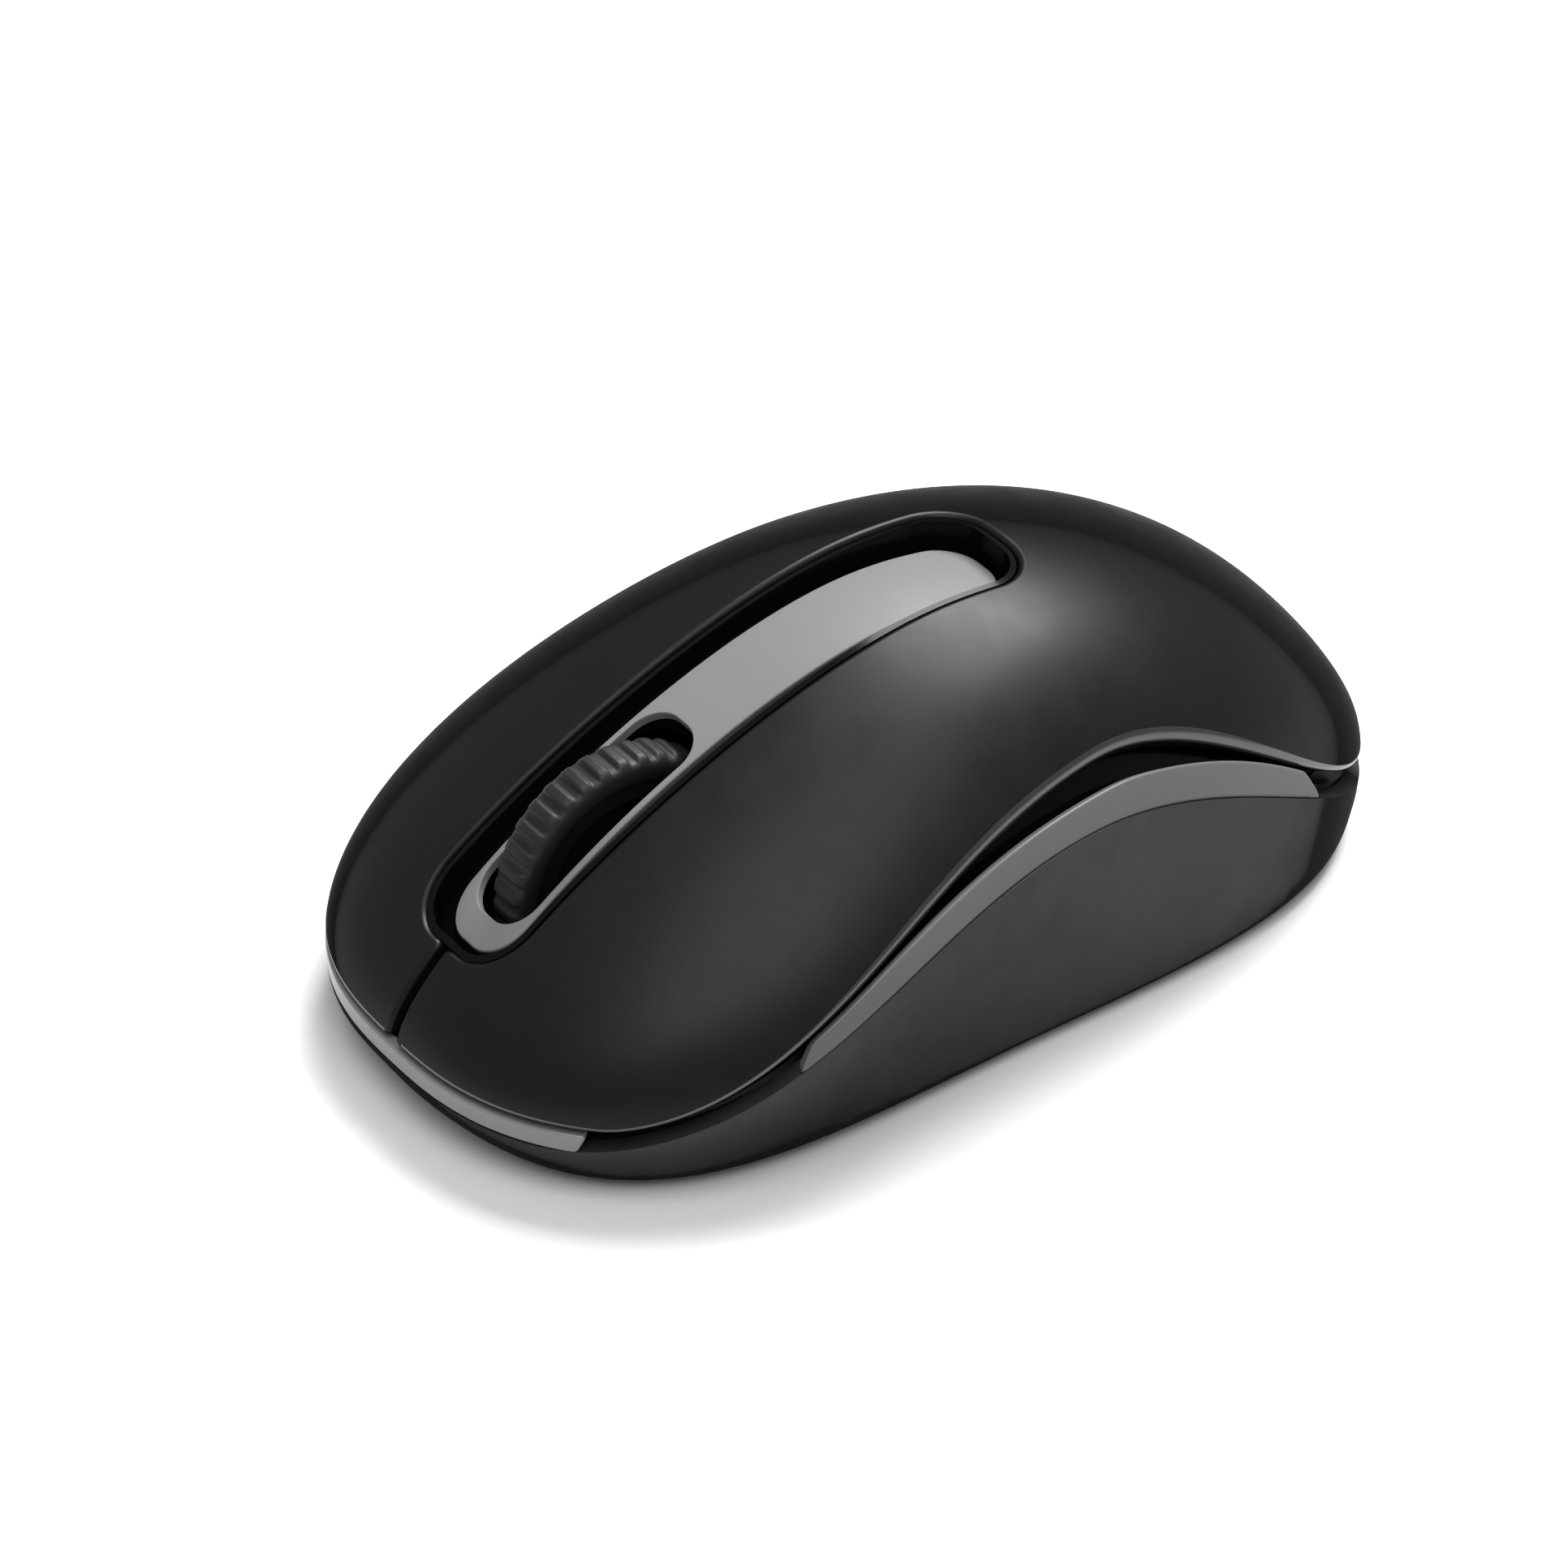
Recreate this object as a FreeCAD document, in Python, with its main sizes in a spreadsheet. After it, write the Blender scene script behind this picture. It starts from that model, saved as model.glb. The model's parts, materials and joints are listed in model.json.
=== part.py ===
import FreeCAD, Part
import Sketcher
import math
import os

# Compact wireless three-button mouse, in millimetres.
# -Y is the nose, +X the user's left, +Z up. z = 0 is the face that the glide feet rest on,
# and the origin is the middle of the bounding box's bottom.

# ---------------------------------------------------------------- driving dimensions

DIMENSIONS = {
    # Cover: plan outline, crest line and cross-section of the domed top.
    "plan_centre": 0.0,
    "half_length": 48.05,
    "half_width": 29.555,
    "width_lean": -4.126,
    "width_square": -1.504,
    "width_cube": 2.508,
    "plan_power_front": 2.605,
    "plan_power_rear": 2.767,
    "crest_height": 27.296,
    "crest_lean": 5.778,
    "crest_square": -0.835,
    "crest_cube": 0.262,
    "crest_power_front": 1.701,
    "crest_power_rear": 1.61,
    "crest_softening": 0.14,
    "section_power_across": 1.941,
    "section_power_up": 2.221,
    "equator_height": 6.766,
    "cover_wall": 1.9,
    # Base: plan outline, with a waist, and the moulded floor.
    "base_centre": 0.8,
    "base_half_length": 45.26,
    "base_half_width": 25.125,
    "base_waist": 4.958,
    "base_power_front": 2.87,
    "base_power_rear": 2.5,
    "base_height": 0.6,
    "base_rounding": 1.5,
    "floor_top": 2.4,
    "base_wall": 2.2,
    "wall_bulge_power": 1.7,
    # Scalloped edges: lower lip of the cover and upper edge of the base.
    "lip_low": 7.433,
    "lip_rise": 17.483,
    "lip_peak": 8.678,
    "lip_front_span": 49.386,
    "lip_rear_span": 35.629,
    "lip_front_power": 1.357,
    "lip_rear_power": 1.461,
    "edge_low": 5.0,
    "edge_rise": 15.783,
    "edge_peak": 5.107,
    "edge_front_span": 48.899,
    "edge_rear_span": 37.966,
    "edge_front_power": 1.433,
    "edge_rear_power": 1.125,
    # Dark band behind the gap between cover and base, and the trims on the base's edge.
    "band_depth": 3.0,
    "band_wall": 1.2,
    "band_overlap": 1.6,
    "ledge_height": 0.5,
    "ledge_inset": 0.1,
    "trim_wall": 1.2,
    "seam_gap": 0.03,
    "trim_front": -26.2,
    "trim_rear": 33.0,
    "trim_slant": 1.6,
    "trim_gap_low": 0.38,
    "trim_gap_rise": 1.5,
    "trim_gap_peak": 13.0,
    "trim_gap_front_span": 33.0,
    "trim_gap_rear_span": 18.0,
    "trim_gap_front_power": 2.0,
    "trim_gap_rear_power": 2.0,
    "nose_trim_top": 6.7,
    "nose_trim_half_width": 19.4,
    "nose_trim_rear": -38.0,
    "nose_trim_slant": 0.6,
    # Keys, split from the cover, and the channel between them.
    "hinge_back": 8.0,
    "part_gap": 0.3,
    "split_gap": 0.8,
    "slot_front": -42.4,
    "slot_rear": 14.5,
    "slot_half_width": 6.25,
    "slot_corner": 4.6,
    "bezel_gap": 0.3,
    "bezel_depth": 2.4,
    "bezel_wall": 1.1,
    "bezel_rim_depth": 0.45,
    "bezel_rim_wall": 0.5,
    "tray_dip": 0.8,
    "tray_dip_from": -16.0,
    "tray_dip_span": 21.0,
    "inlay_depth": 1.5,
    "inlay_front": -40.2,
    "inlay_rear": 13.1,
    "inlay_half_width": 4.15,
    "inlay_corner": 3.4,
    "opening_front": -38.0,
    "opening_rear": -18.3,
    "opening_half_width": 3.5,
    "opening_corner": 2.8,
    "tongue_half_width": 2.0,
    "tongue_rear": -42.3,
    "tongue_bottom": 8.0,
    # Scroll wheel and its carrier.
    "wheel_back": -25.2,
    "wheel_height": 15.5,
    "tyre_radius": 11.45,
    "tyre_bore": 9.0,
    "tyre_width": 4.0,
    "tyre_shoulder": 1.1,
    "tyre_groove": 0.4,
    "tyre_rib_count": 36,
    "axle_radius": 1.5,
    "axle_half_length": 5.2,
    "arm_width": 5.2,
    "hex_reach": 11.0,
    "hex_flat": 2.0,
    "carrier_inner": 6.8,
    "carrier_outer": 9.6,
    "running_gap": 0.05,
    "pivot_side": 8.2,
    "pivot_height": 9.6,
    "pivot_radius": 0.8,
    "carrier_front": -39.4,
    "carrier_rear": -12.4,
    # Circuit board and what stands on it.
    "board_bottom": 6.4,
    "board_thickness": 1.6,
    "board_top": 8.0,
    "board_front": -36.6,
    "board_rear": -8.4,
    "board_half_width": 19.0,
    "board_notch_half_width": 6.0,
    "board_notch_rear": -16.0,
    "switch_side": 14.6,
    "switch_back": -27.5,
    "switch_width": 5.8,
    "switch_length": 12.8,
    "switch_height": 6.2,
    "plunger_width": 1.2,
    "plunger_length": 3.0,
    "plunger_height": 2.0,
    "plunger_proud": 0.8,
    "plunger_fit": 0.1,
    "plunger_back": -29.5,
    "push_gap": 0.15,
    "middle_switch_side": 8.6,
    "middle_switch_height": 4.8,
    "middle_plunger_proud": 0.8,
    "encoder_side": 9.4,
    "encoder_width": 4.0,
    "encoder_length": 8.0,
    "encoder_height": 10.6,
    "rotor_radius": 2.5,
    "rotor_hex_flat": 2.3,
    "sensor_back": -11.6,
    "sensor_width": 7.2,
    "sensor_length": 6.0,
    "sensor_height": 2.2,
    "window_width": 6.0,
    "window_length": 5.0,
    # Two AAA cells, their tray and the door under them.
    "cell_radius": 5.25,
    "cell_length": 43.7,
    "cell_tip_radius": 1.9,
    "cell_tip_length": 0.8,
    "cell_side": 5.5,
    "cell_height": 8.2,
    "cell_front": -5.6,
    "tray_half_width": 12.1,
    "tray_front": -8.0,
    "tray_rear": 40.4,
    "tray_top": 14.6,
    "tray_wall": 1.0,
    "door_half_width": 11.3,
    "door_front": -4.9,
    "door_rear": 41.6,
    "door_thickness": 1.4,
    "door_gap": 0.3,
    # USB receiver in its bay.
    "receiver_side": 16.7,
    "receiver_back": 6.5,
    "receiver_bottom": 0.8,
    "cap_thickness": 6.4,
    "cap_width": 14.8,
    "cap_height": 5.5,
    "plug_thickness": 4.5,
    "plug_width": 12.0,
    "plug_height": 11.7,
    "plug_sheet": 0.4,
    "bay_gap": 0.25,
    "bay_wall": 1.0,
    # Power switch.
    "power_side": -13.0,
    "power_back": -20.5,
    "power_travel": 3.0,
    "knob_width": 2.8,
    "knob_length": 3.6,
    # Screws, posts and glide feet.
    "case_screw_side": 15.2,
    "case_screw_back": 30.0,
    "nose_screw_side": 12.8,
    "nose_screw_back": -39.4,
    "screw_head_radius": 1.8,
    "screw_head_height": 1.2,
    "screw_radius": 0.9,
    "post_radius": 2.3,
    "post_top": 6.0,
    "board_screw_side": 16.5,
    "board_screw_back": -12.0,
    "foot_thickness": 0.9,
    "front_foot_back": -39.8,
    "front_foot_width": 20.0,
    "front_foot_length": 4.8,
    "rear_foot_back": 43.3,
    "rear_foot_width": 11.0,
    "rear_foot_length": 1.6,
}

document = FreeCAD.newDocument("mouse")
sheet = document.addObject("Spreadsheet::Sheet", "Sizes")
for row, (alias, value) in enumerate(DIMENSIONS.items(), start=1):
    sheet.set("A%d" % row, alias)
    sheet.set("B%d" % row, str(value))
    sheet.setAlias("B%d" % row, alias)
document.recompute()

PARTS = []


def size(alias):
    """A driving dimension, as a number."""
    return float(sheet.get(alias))


def cell(expression):
    """Write @alias in an expression as a reference to the sheet."""
    return expression.replace("@", "Sizes.")


# ---------------------------------------------------------------- the mouse's shape

def round_end(fraction, power, softening=0.0):
    """One at the middle of a superellipse, falling to nought at its end.

    Softening takes the sharp bend out of its middle where the power is under two.
    """
    start = softening ** power
    reach = (fraction ** 2 + softening ** 2) ** (power / 2) - start
    whole = (1.0 + softening ** 2) ** (power / 2) - start
    return max(0.0, 1.0 - reach / whole) ** (1.0 / power)


def along(y, inset=0.0):
    """Place along the plan, -1 at the nose and 1 at the tail, on a skin inset from the cover."""
    return (y - size("plan_centre")) / (size("half_length") - inset)


def plan_half_width(y, inset=0.0):
    """Half-width of the cover at its widest level."""
    full = along(y)
    middle = size("half_width") + size("width_lean") * full
    middle += size("width_square") * full ** 2 + size("width_cube") * full ** 3
    share = along(y, inset)
    power = size("plan_power_front") if share < 0 else size("plan_power_rear")
    return (middle - inset) * round_end(share, power)


def crest(y, inset=0.0):
    """Height of the cover's middle line above its widest level."""
    full = along(y)
    middle = size("crest_height") + size("crest_lean") * full
    middle += size("crest_square") * full ** 2 + size("crest_cube") * full ** 3
    share = along(y, inset)
    power = size("crest_power_front") if share < 0 else size("crest_power_rear")
    return (middle - inset) * round_end(share, power, size("crest_softening"))


def cover_half_width(y, z, inset=0.0):
    """Half-width of the cover at a height, straight down below its widest level."""
    rise = z - size("equator_height")
    if rise <= 0:
        return plan_half_width(y, inset)
    share = min(1.0, rise / max(crest(y, inset), 0.001))
    across = 1.0 - share ** size("section_power_up")
    return plan_half_width(y, inset) * across ** (1.0 / size("section_power_across"))


def base_outline_half_width(y, inset=0.0):
    """Half-width of the base's floor, which has a waist."""
    full = (y - size("base_centre")) / size("base_half_length")
    middle = size("base_half_width") + size("base_waist") * full ** 2 - inset
    share = (y - size("base_centre")) / (size("base_half_length") - inset)
    power = size("base_power_front") if share < 0 else size("base_power_rear")
    return middle * round_end(share, power)


def scallop(y, name):
    """A height along the side: low at nose and tail, with one hump over the thumb's place."""
    side = "front" if y < size(name + "_peak") else "rear"
    share = abs(y - size(name + "_peak")) / size("%s_%s_span" % (name, side))
    if share >= 1:
        return size(name + "_low")
    bell = math.cos(share * math.pi / 2) ** size("%s_%s_power" % (name, side))
    return size(name + "_low") + size(name + "_rise") * bell


def lip(y):
    """Lower lip of the cover."""
    return scallop(y, "lip")


def edge(y):
    """Upper edge of the base."""
    return scallop(y, "edge")


def seat(y):
    """Where the parts that stand on the base's edge begin."""
    return edge(y) + size("seam_gap")


def trim_top(y):
    """Upper edge of a side trim, which leaves the widest gap under the lip at its middle."""
    return lip(y) - scallop(y, "trim_gap")


def tray_dip(y):
    """How much deeper the tray between the keys lies towards its two ends."""
    return size("tray_dip") * ((y - size("tray_dip_from")) / size("tray_dip_span")) ** 2


# ---------------------------------------------------------------- solids from that shape

STATIONS = 27
ACROSS = 24
REACH = 0.97
SKIRT_BOTTOM = 3.0
PROFILE_REACH = 52.0
PROFILE_STEPS = 40
FAR = 80.0


def vector(x, y, z):
    return FreeCAD.Vector(x, y, z)


def dome_row(y, inset, dipped):
    """Points over one cross-section, from the left skirt over the crest to the right one."""
    wide = plan_half_width(y, inset)
    high = crest(y, inset)
    if dipped:
        high = max(high - tray_dip(y), 0.2 * high)
    level = size("equator_height")
    foot = SKIRT_BOTTOM - inset
    row = [vector(wide, y, foot), vector(wide, y, (foot + level) / 2)]
    for step in range(ACROSS + 1):
        turn = math.pi * step / ACROSS
        x = abs(math.cos(turn)) ** (2 / size("section_power_across"))
        z = math.sin(turn) ** (2 / size("section_power_up")) if 0 < step < ACROSS else 0.0
        row.append(vector(math.copysign(x, math.cos(turn)) * wide, y, level + z * high))
    row.append(vector(-wide, y, (foot + level) / 2))
    row.append(vector(-wide, y, foot))
    return row


def hull(inset, dipped=False):
    """The closed block under the cover's surface, inset by a depth, or under the dipped tray's."""
    half = size("half_length") - inset
    rows = []
    for step in range(STATIONS):
        turn = (2.0 * step / (STATIONS - 1) - 1.0) * REACH * math.pi / 2
        rows.append(dome_row(size("plan_centre") + half * math.sin(turn), inset, dipped))
    surface = Part.BSplineSurface()
    surface.interpolate(rows)
    skin = surface.toShape()
    faces = [skin]
    for row in (rows[0], rows[-1]):
        arch = [e for e in skin.Edges if all(abs(v.Y - row[0].y) < 1e-4 for v in e.Vertexes)][0]
        faces.append(Part.Face(Part.Wire([arch, Part.makeLine(row[0], row[-1])])))
    rails = [e for e in skin.Edges if abs(e.Vertexes[0].Y - e.Vertexes[-1].Y) > 1]
    ends = [Part.makeLine(row[0], row[-1]) for row in (rows[0], rows[-1])]
    faces.append(Part.Face(Part.Wire(Part.__sortEdges__(rails + ends))))
    shell = Part.makeShell(faces)
    shell.sewShape()
    solid = Part.makeSolid(shell)
    if solid.Volume < 0:
        solid.reverse()
    return solid


def wall_ring(z, inset):
    """Outline of the base's side wall at a height, as one closed curve."""
    floor = size("base_height")
    tuck = 0.0
    lift = z - floor
    if inset == 0 and lift < size("base_rounding"):
        tuck = size("base_rounding")
        tuck -= math.sqrt(tuck ** 2 - (tuck - lift) ** 2)
    points = []
    count = 22
    for side in (1, -1):
        for step in range(count):
            turn = (step / count - 0.5) * math.pi * side
            top_y = size("plan_centre") + (size("half_length") - inset) * math.sin(turn)
            low_y = size("base_centre") + (size("base_half_length") - inset - tuck) * math.sin(turn)
            rim = edge(top_y)
            top_x = cover_half_width(top_y, rim, inset)
            low_x = base_outline_half_width(low_y, inset + tuck)
            share = min(1.0, lift / (rim - floor))
            lean = 1.0 - (1.0 - share) ** size("wall_bulge_power")
            x = low_x + (top_x - low_x) * lean
            points.append(vector(x * side, low_y + (top_y - low_y) * lean, z))
    curve = Part.BSplineCurve()
    curve.interpolate(Points=points, PeriodicFlag=True)
    return Part.Wire([curve.toShape()])


def wall_block(bottom, inset):
    """The closed block inside the base's side wall, higher than its upper edge."""
    lowest = size("base_height")
    steps = [0.0, 0.3, 1.0, 2.2, 3.6, 5.2, 8.0, 11.5, 15.0, 18.5, 22.0]
    levels = [bottom] + [lowest + s for s in steps if lowest + s > bottom + 0.1]
    return Part.makeLoft([wall_ring(z, inset) for z in levels], True, False)


def side_band(low, high):
    """Everything between two side-view profiles, right through from left to right."""
    front = -PROFILE_REACH
    rear = PROFILE_REACH
    count = PROFILE_STEPS
    places = [front + (rear - front) * step / count for step in range(count + 1)]
    edges = []
    for profile in (low, high):
        curve = Part.BSplineCurve()
        curve.interpolate([vector(-FAR, y, profile(y)) for y in places])
        edges.append(curve.toShape())
    for y in (front, rear):
        edges.append(Part.makeLine(vector(-FAR, y, low(y)), vector(-FAR, y, high(y))))
    face = Part.Face(Part.Wire(Part.__sortEdges__(edges)))
    return face.extrude(vector(2 * FAR, 0, 0))


def level(height):
    """A flat side-view profile."""
    return lambda y: height


def strip(half_width, front, rear, corner, low, high):
    """An upright block whose plan is a long strip with rounded corners."""
    diagonal = corner * (1 - math.sqrt(0.5))
    edges = []
    for side in (-1, 1):
        x = side * half_width
        inner = x - side * corner
        edges.append(Part.makeLine(vector(x, front + corner, low), vector(x, rear - corner, low)))
        for end, way in ((front, 1), (rear, -1)):
            arc = Part.Arc(vector(x, end + way * corner, low),
                           vector(x - side * diagonal, end + way * diagonal, low),
                           vector(inner, end, low))
            edges.append(arc.toShape())
    for end in (front, rear):
        edges.append(Part.makeLine(vector(corner - half_width, end, low),
                                   vector(half_width - corner, end, low)))
    face = Part.Face(Part.Wire(Part.__sortEdges__(edges)))
    return face.extrude(vector(0, 0, high - low))


def block(x0, x1, y0, y1, z0, z1):
    return Part.makeBox(x1 - x0, y1 - y0, z1 - z0, vector(x0, y0, z0))


def rod(radius, x, y, z0, z1):
    return Part.makeCylinder(radius, z1 - z0, vector(x, y, z0))


def feature(label, shape):
    """A sub-part whose shape is made by the functions above."""
    item = document.addObject("Part::Feature", label)
    item.Label = label
    item.Shape = shape.removeSplitter()
    item.Placement = FreeCAD.Placement()
    PARTS.append(item)
    return item


# ---------------------------------------------------------------- sketches and bodies

def body(label):
    """A new PartDesign body with a label of its own."""
    item = document.addObject("PartDesign::Body", label)
    item.Label = label
    PARTS.append(item)
    return item


def place(item, x="0", y="0", z="0"):
    """Bind a sub-part's position to the sheet."""
    for axis, expression in (("x", x), ("y", y), ("z", z)):
        item.setExpression("Placement.Base." + axis, cell(expression))


def sketch_on(item, plane, x="0", y="0", z="0"):
    """A sketch on one of the body's own planes, shifted by x and y within it and z off it."""
    sketch = item.newObject("Sketcher::SketchObject", "Sketch")
    origin = [f for f in item.Origin.OriginFeatures if f.Role == plane][0]
    sketch.AttachmentSupport = (origin, [""])
    sketch.MapMode = "FlatFace"
    for axis, expression in (("x", x), ("y", y), ("z", z)):
        sketch.setExpression("AttachmentOffset.Base." + axis, cell(expression))
    return sketch


def bind(sketch, constraint, name, expression):
    """Add a constraint and bind its value to the sheet."""
    number = sketch.addConstraint(constraint)
    sketch.renameConstraint(number, name)
    sketch.setExpression("Constraints." + name, cell(expression))


def rectangle(sketch, width, height):
    """A rectangle centred on the sketch's origin."""
    tag = "set%d" % sketch.GeometryCount
    first = sketch.GeometryCount
    corners = [vector(-1, -1, 0), vector(1, -1, 0), vector(1, 1, 0), vector(-1, 1, 0)]
    for number in range(4):
        line = Part.LineSegment(corners[number], corners[(number + 1) % 4])
        sketch.addGeometry(line, False)
    for number in range(4):
        follower = first + (number + 1) % 4
        sketch.addConstraint(Sketcher.Constraint("Coincident", first + number, 2, follower, 1))
        way = "Horizontal" if number % 2 == 0 else "Vertical"
        sketch.addConstraint(Sketcher.Constraint(way, first + number))
    sketch.addConstraint(Sketcher.Constraint("Symmetric", first, 1, first + 2, 1, -1, 1))
    wide = Sketcher.Constraint("DistanceX", first, 1, first, 2, 2.0)
    bind(sketch, wide, tag + "width", width)
    tall = Sketcher.Constraint("DistanceY", first + 1, 1, first + 1, 2, 2.0)
    bind(sketch, tall, tag + "height", height)


def circle(sketch, radius):
    """A circle round the sketch's origin."""
    number = sketch.addGeometry(Part.Circle(vector(0, 0, 0), vector(0, 0, 1), 1.0), False)
    sketch.addConstraint(Sketcher.Constraint("Coincident", number, 3, -1, 1))
    bind(sketch, Sketcher.Constraint("Radius", number, 1.0), "radius%d" % number, radius)


def hexagon(sketch, across_flats):
    """A regular hexagon round the sketch's origin, sized across its flats."""
    first = sketch.GeometryCount
    corners = []
    for number in range(6):
        turn = math.radians(60 * number)
        corners.append(vector(math.cos(turn), math.sin(turn), 0))
    for number in range(6):
        sketch.addGeometry(Part.LineSegment(corners[number], corners[(number + 1) % 6]), False)
    ring = sketch.addGeometry(Part.Circle(vector(0, 0, 0), vector(0, 0, 1), 1.0), True)
    sketch.addConstraint(Sketcher.Constraint("Coincident", ring, 3, -1, 1))
    for number in range(6):
        follower = first + (number + 1) % 6
        sketch.addConstraint(Sketcher.Constraint("Coincident", first + number, 2, follower, 1))
        sketch.addConstraint(Sketcher.Constraint("PointOnObject", first + number, 1, ring))
    for number in range(1, 6):
        sketch.addConstraint(Sketcher.Constraint("Equal", first, first + number))
    sketch.addConstraint(Sketcher.Constraint("PointOnObject", first, 1, -1))
    radius = "%s / (2 * cos(30 deg))" % across_flats
    bind(sketch, Sketcher.Constraint("Radius", ring, 1.0), "corner_radius", radius)


def polygon(sketch, points):
    """A closed outline through corners whose coordinates are expressions."""
    start = []
    for across, up in points:
        start.append(vector(value(across), value(up), 0))
    count = len(points)
    for number in range(count):
        sketch.addGeometry(Part.LineSegment(start[number], start[(number + 1) % count]), False)
    for number, (across, up) in enumerate(points):
        previous = (number - 1) % count
        sketch.addConstraint(Sketcher.Constraint("Coincident", previous, 2, number, 1))
        for way, expression in (("DistanceX", across), ("DistanceY", up)):
            reach = start[number].x if way == "DistanceX" else start[number].y
            constraint = Sketcher.Constraint(way, -1, 1, number, 1, reach)
            bind(sketch, constraint, "%s%d" % (way, number), expression)


def value(expression):
    """What an expression of sizes comes to."""
    sheet.set("D1", "=" + expression.replace("@", ""))
    document.recompute([sheet])
    return float(sheet.get("D1"))


def pad(item, sketch, length, both_ways=False):
    made = item.newObject("PartDesign::Pad", "Pad")
    made.Profile = sketch
    made.SideType = 2 if both_ways else 0
    made.setExpression("Length", cell(length))
    return made


def pocket(item, sketch, length, both_ways=False, upwards=False):
    made = item.newObject("PartDesign::Pocket", "Pocket")
    made.Profile = sketch
    made.SideType = 2 if both_ways else 0
    made.Reversed = upwards
    made.setExpression("Length", cell(length))
    return made


def round_edges(item, radius, wanted):
    """Fillet the edges of the body's last feature that a test picks."""
    document.recompute()
    last = item.Tip
    names = []
    for number, part_edge in enumerate(last.Shape.Edges, start=1):
        if wanted(part_edge):
            names.append("Edge%d" % number)
    made = item.newObject("PartDesign::Fillet", "Fillet")
    made.Base = (last, names)
    made.setExpression("Radius", cell(radius))
    return made


def upright(part_edge):
    box = part_edge.BoundBox
    return box.XLength < 0.01 and box.YLength < 0.01


def lying_along_y(part_edge):
    box = part_edge.BoundBox
    return box.XLength < 0.01 and box.ZLength < 0.01


def rounded_plate(label, width, length, thickness, radius, x="0", y="0", z="0"):
    """A flat plate with rounded corners, its underside at z."""
    item = body(label)
    plan = sketch_on(item, "XY_Plane")
    rectangle(plan, width, length)
    pad(item, plan, thickness)
    round_edges(item, radius, upright)
    place(item, x, y, z)
    return item


def group(label, shapes):
    """Several alike solids that share one node."""
    item = document.addObject("Part::Compound", label)
    item.Label = label
    item.Links = shapes
    PARTS.append(item)
    return item


def cylinder(name, radius, height, x="0", y="0", z="0"):
    item = document.addObject("Part::Cylinder", name)
    item.setExpression("Radius", cell(radius))
    item.setExpression("Height", cell(height))
    place(item, x, y, z)
    return item


def box(name, width, length, height, x="0", y="0", z="0"):
    """A box centred on x and y, its underside at z."""
    item = document.addObject("Part::Box", name)
    item.setExpression("Length", cell(width))
    item.setExpression("Width", cell(length))
    item.setExpression("Height", cell(height))
    place(item, "%s - (%s) / 2" % (x, width), "%s - (%s) / 2" % (y, length), z)
    return item


def cut(label, base, tool):
    item = document.addObject("Part::Cut", label)
    item.Label = label
    item.Base = base
    item.Tool = tool
    return item


def fuse(label, first, second):
    item = document.addObject("Part::Fuse", label)
    item.Label = label
    item.Base = first
    item.Tool = second
    return item


# ---------------------------------------------------------------- casing

def cover():
    """The domed top as one shell, cut to its lip and slotted down the middle."""
    wall = hull(0.0).cut(hull(size("cover_wall")))
    low = side_band(level(-20.0), lip)
    slot = strip(size("slot_half_width"), size("slot_front"), size("slot_rear"),
                 size("slot_corner"), 0.0, FAR)
    return wall.cut(low).cut(slot)


def make_cover_parts():
    """The palm cover with its screw posts, and the two keys ahead of the flexing line."""
    whole = cover()
    half_gap = size("part_gap") / 2
    hinge = size("hinge_back")
    skin = hull(size("cover_wall") / 2)
    palm = whole.common(block(-FAR, FAR, hinge + half_gap, FAR, 0, FAR))
    for side in (-1, 1):
        x = side * size("case_screw_side")
        y = size("case_screw_back")
        post = rod(size("post_radius"), x, y, size("post_top") + 0.2, FAR)
        bore = rod(size("screw_radius") + size("running_gap"), x, y, 0, 16)
        palm = palm.fuse(post.common(skin)).cut(bore)
    feature("top_shell", palm)
    for label, side in (("left_button", 1), ("right_button", -1)):
        inner = size("split_gap") / 2 * side
        outer = FAR * side
        half = block(min(inner, outer), max(inner, outer), -FAR, hinge - half_gap, 0, FAR)
        key = whole.common(half)
        foot = size("board_top") + size("switch_height") + size("plunger_proud")
        foot += size("push_gap")
        rib = rod(1.3, side * size("switch_side"), size("plunger_back"), foot, FAR)
        feature(label, key.fuse(rib.common(skin)))


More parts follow.
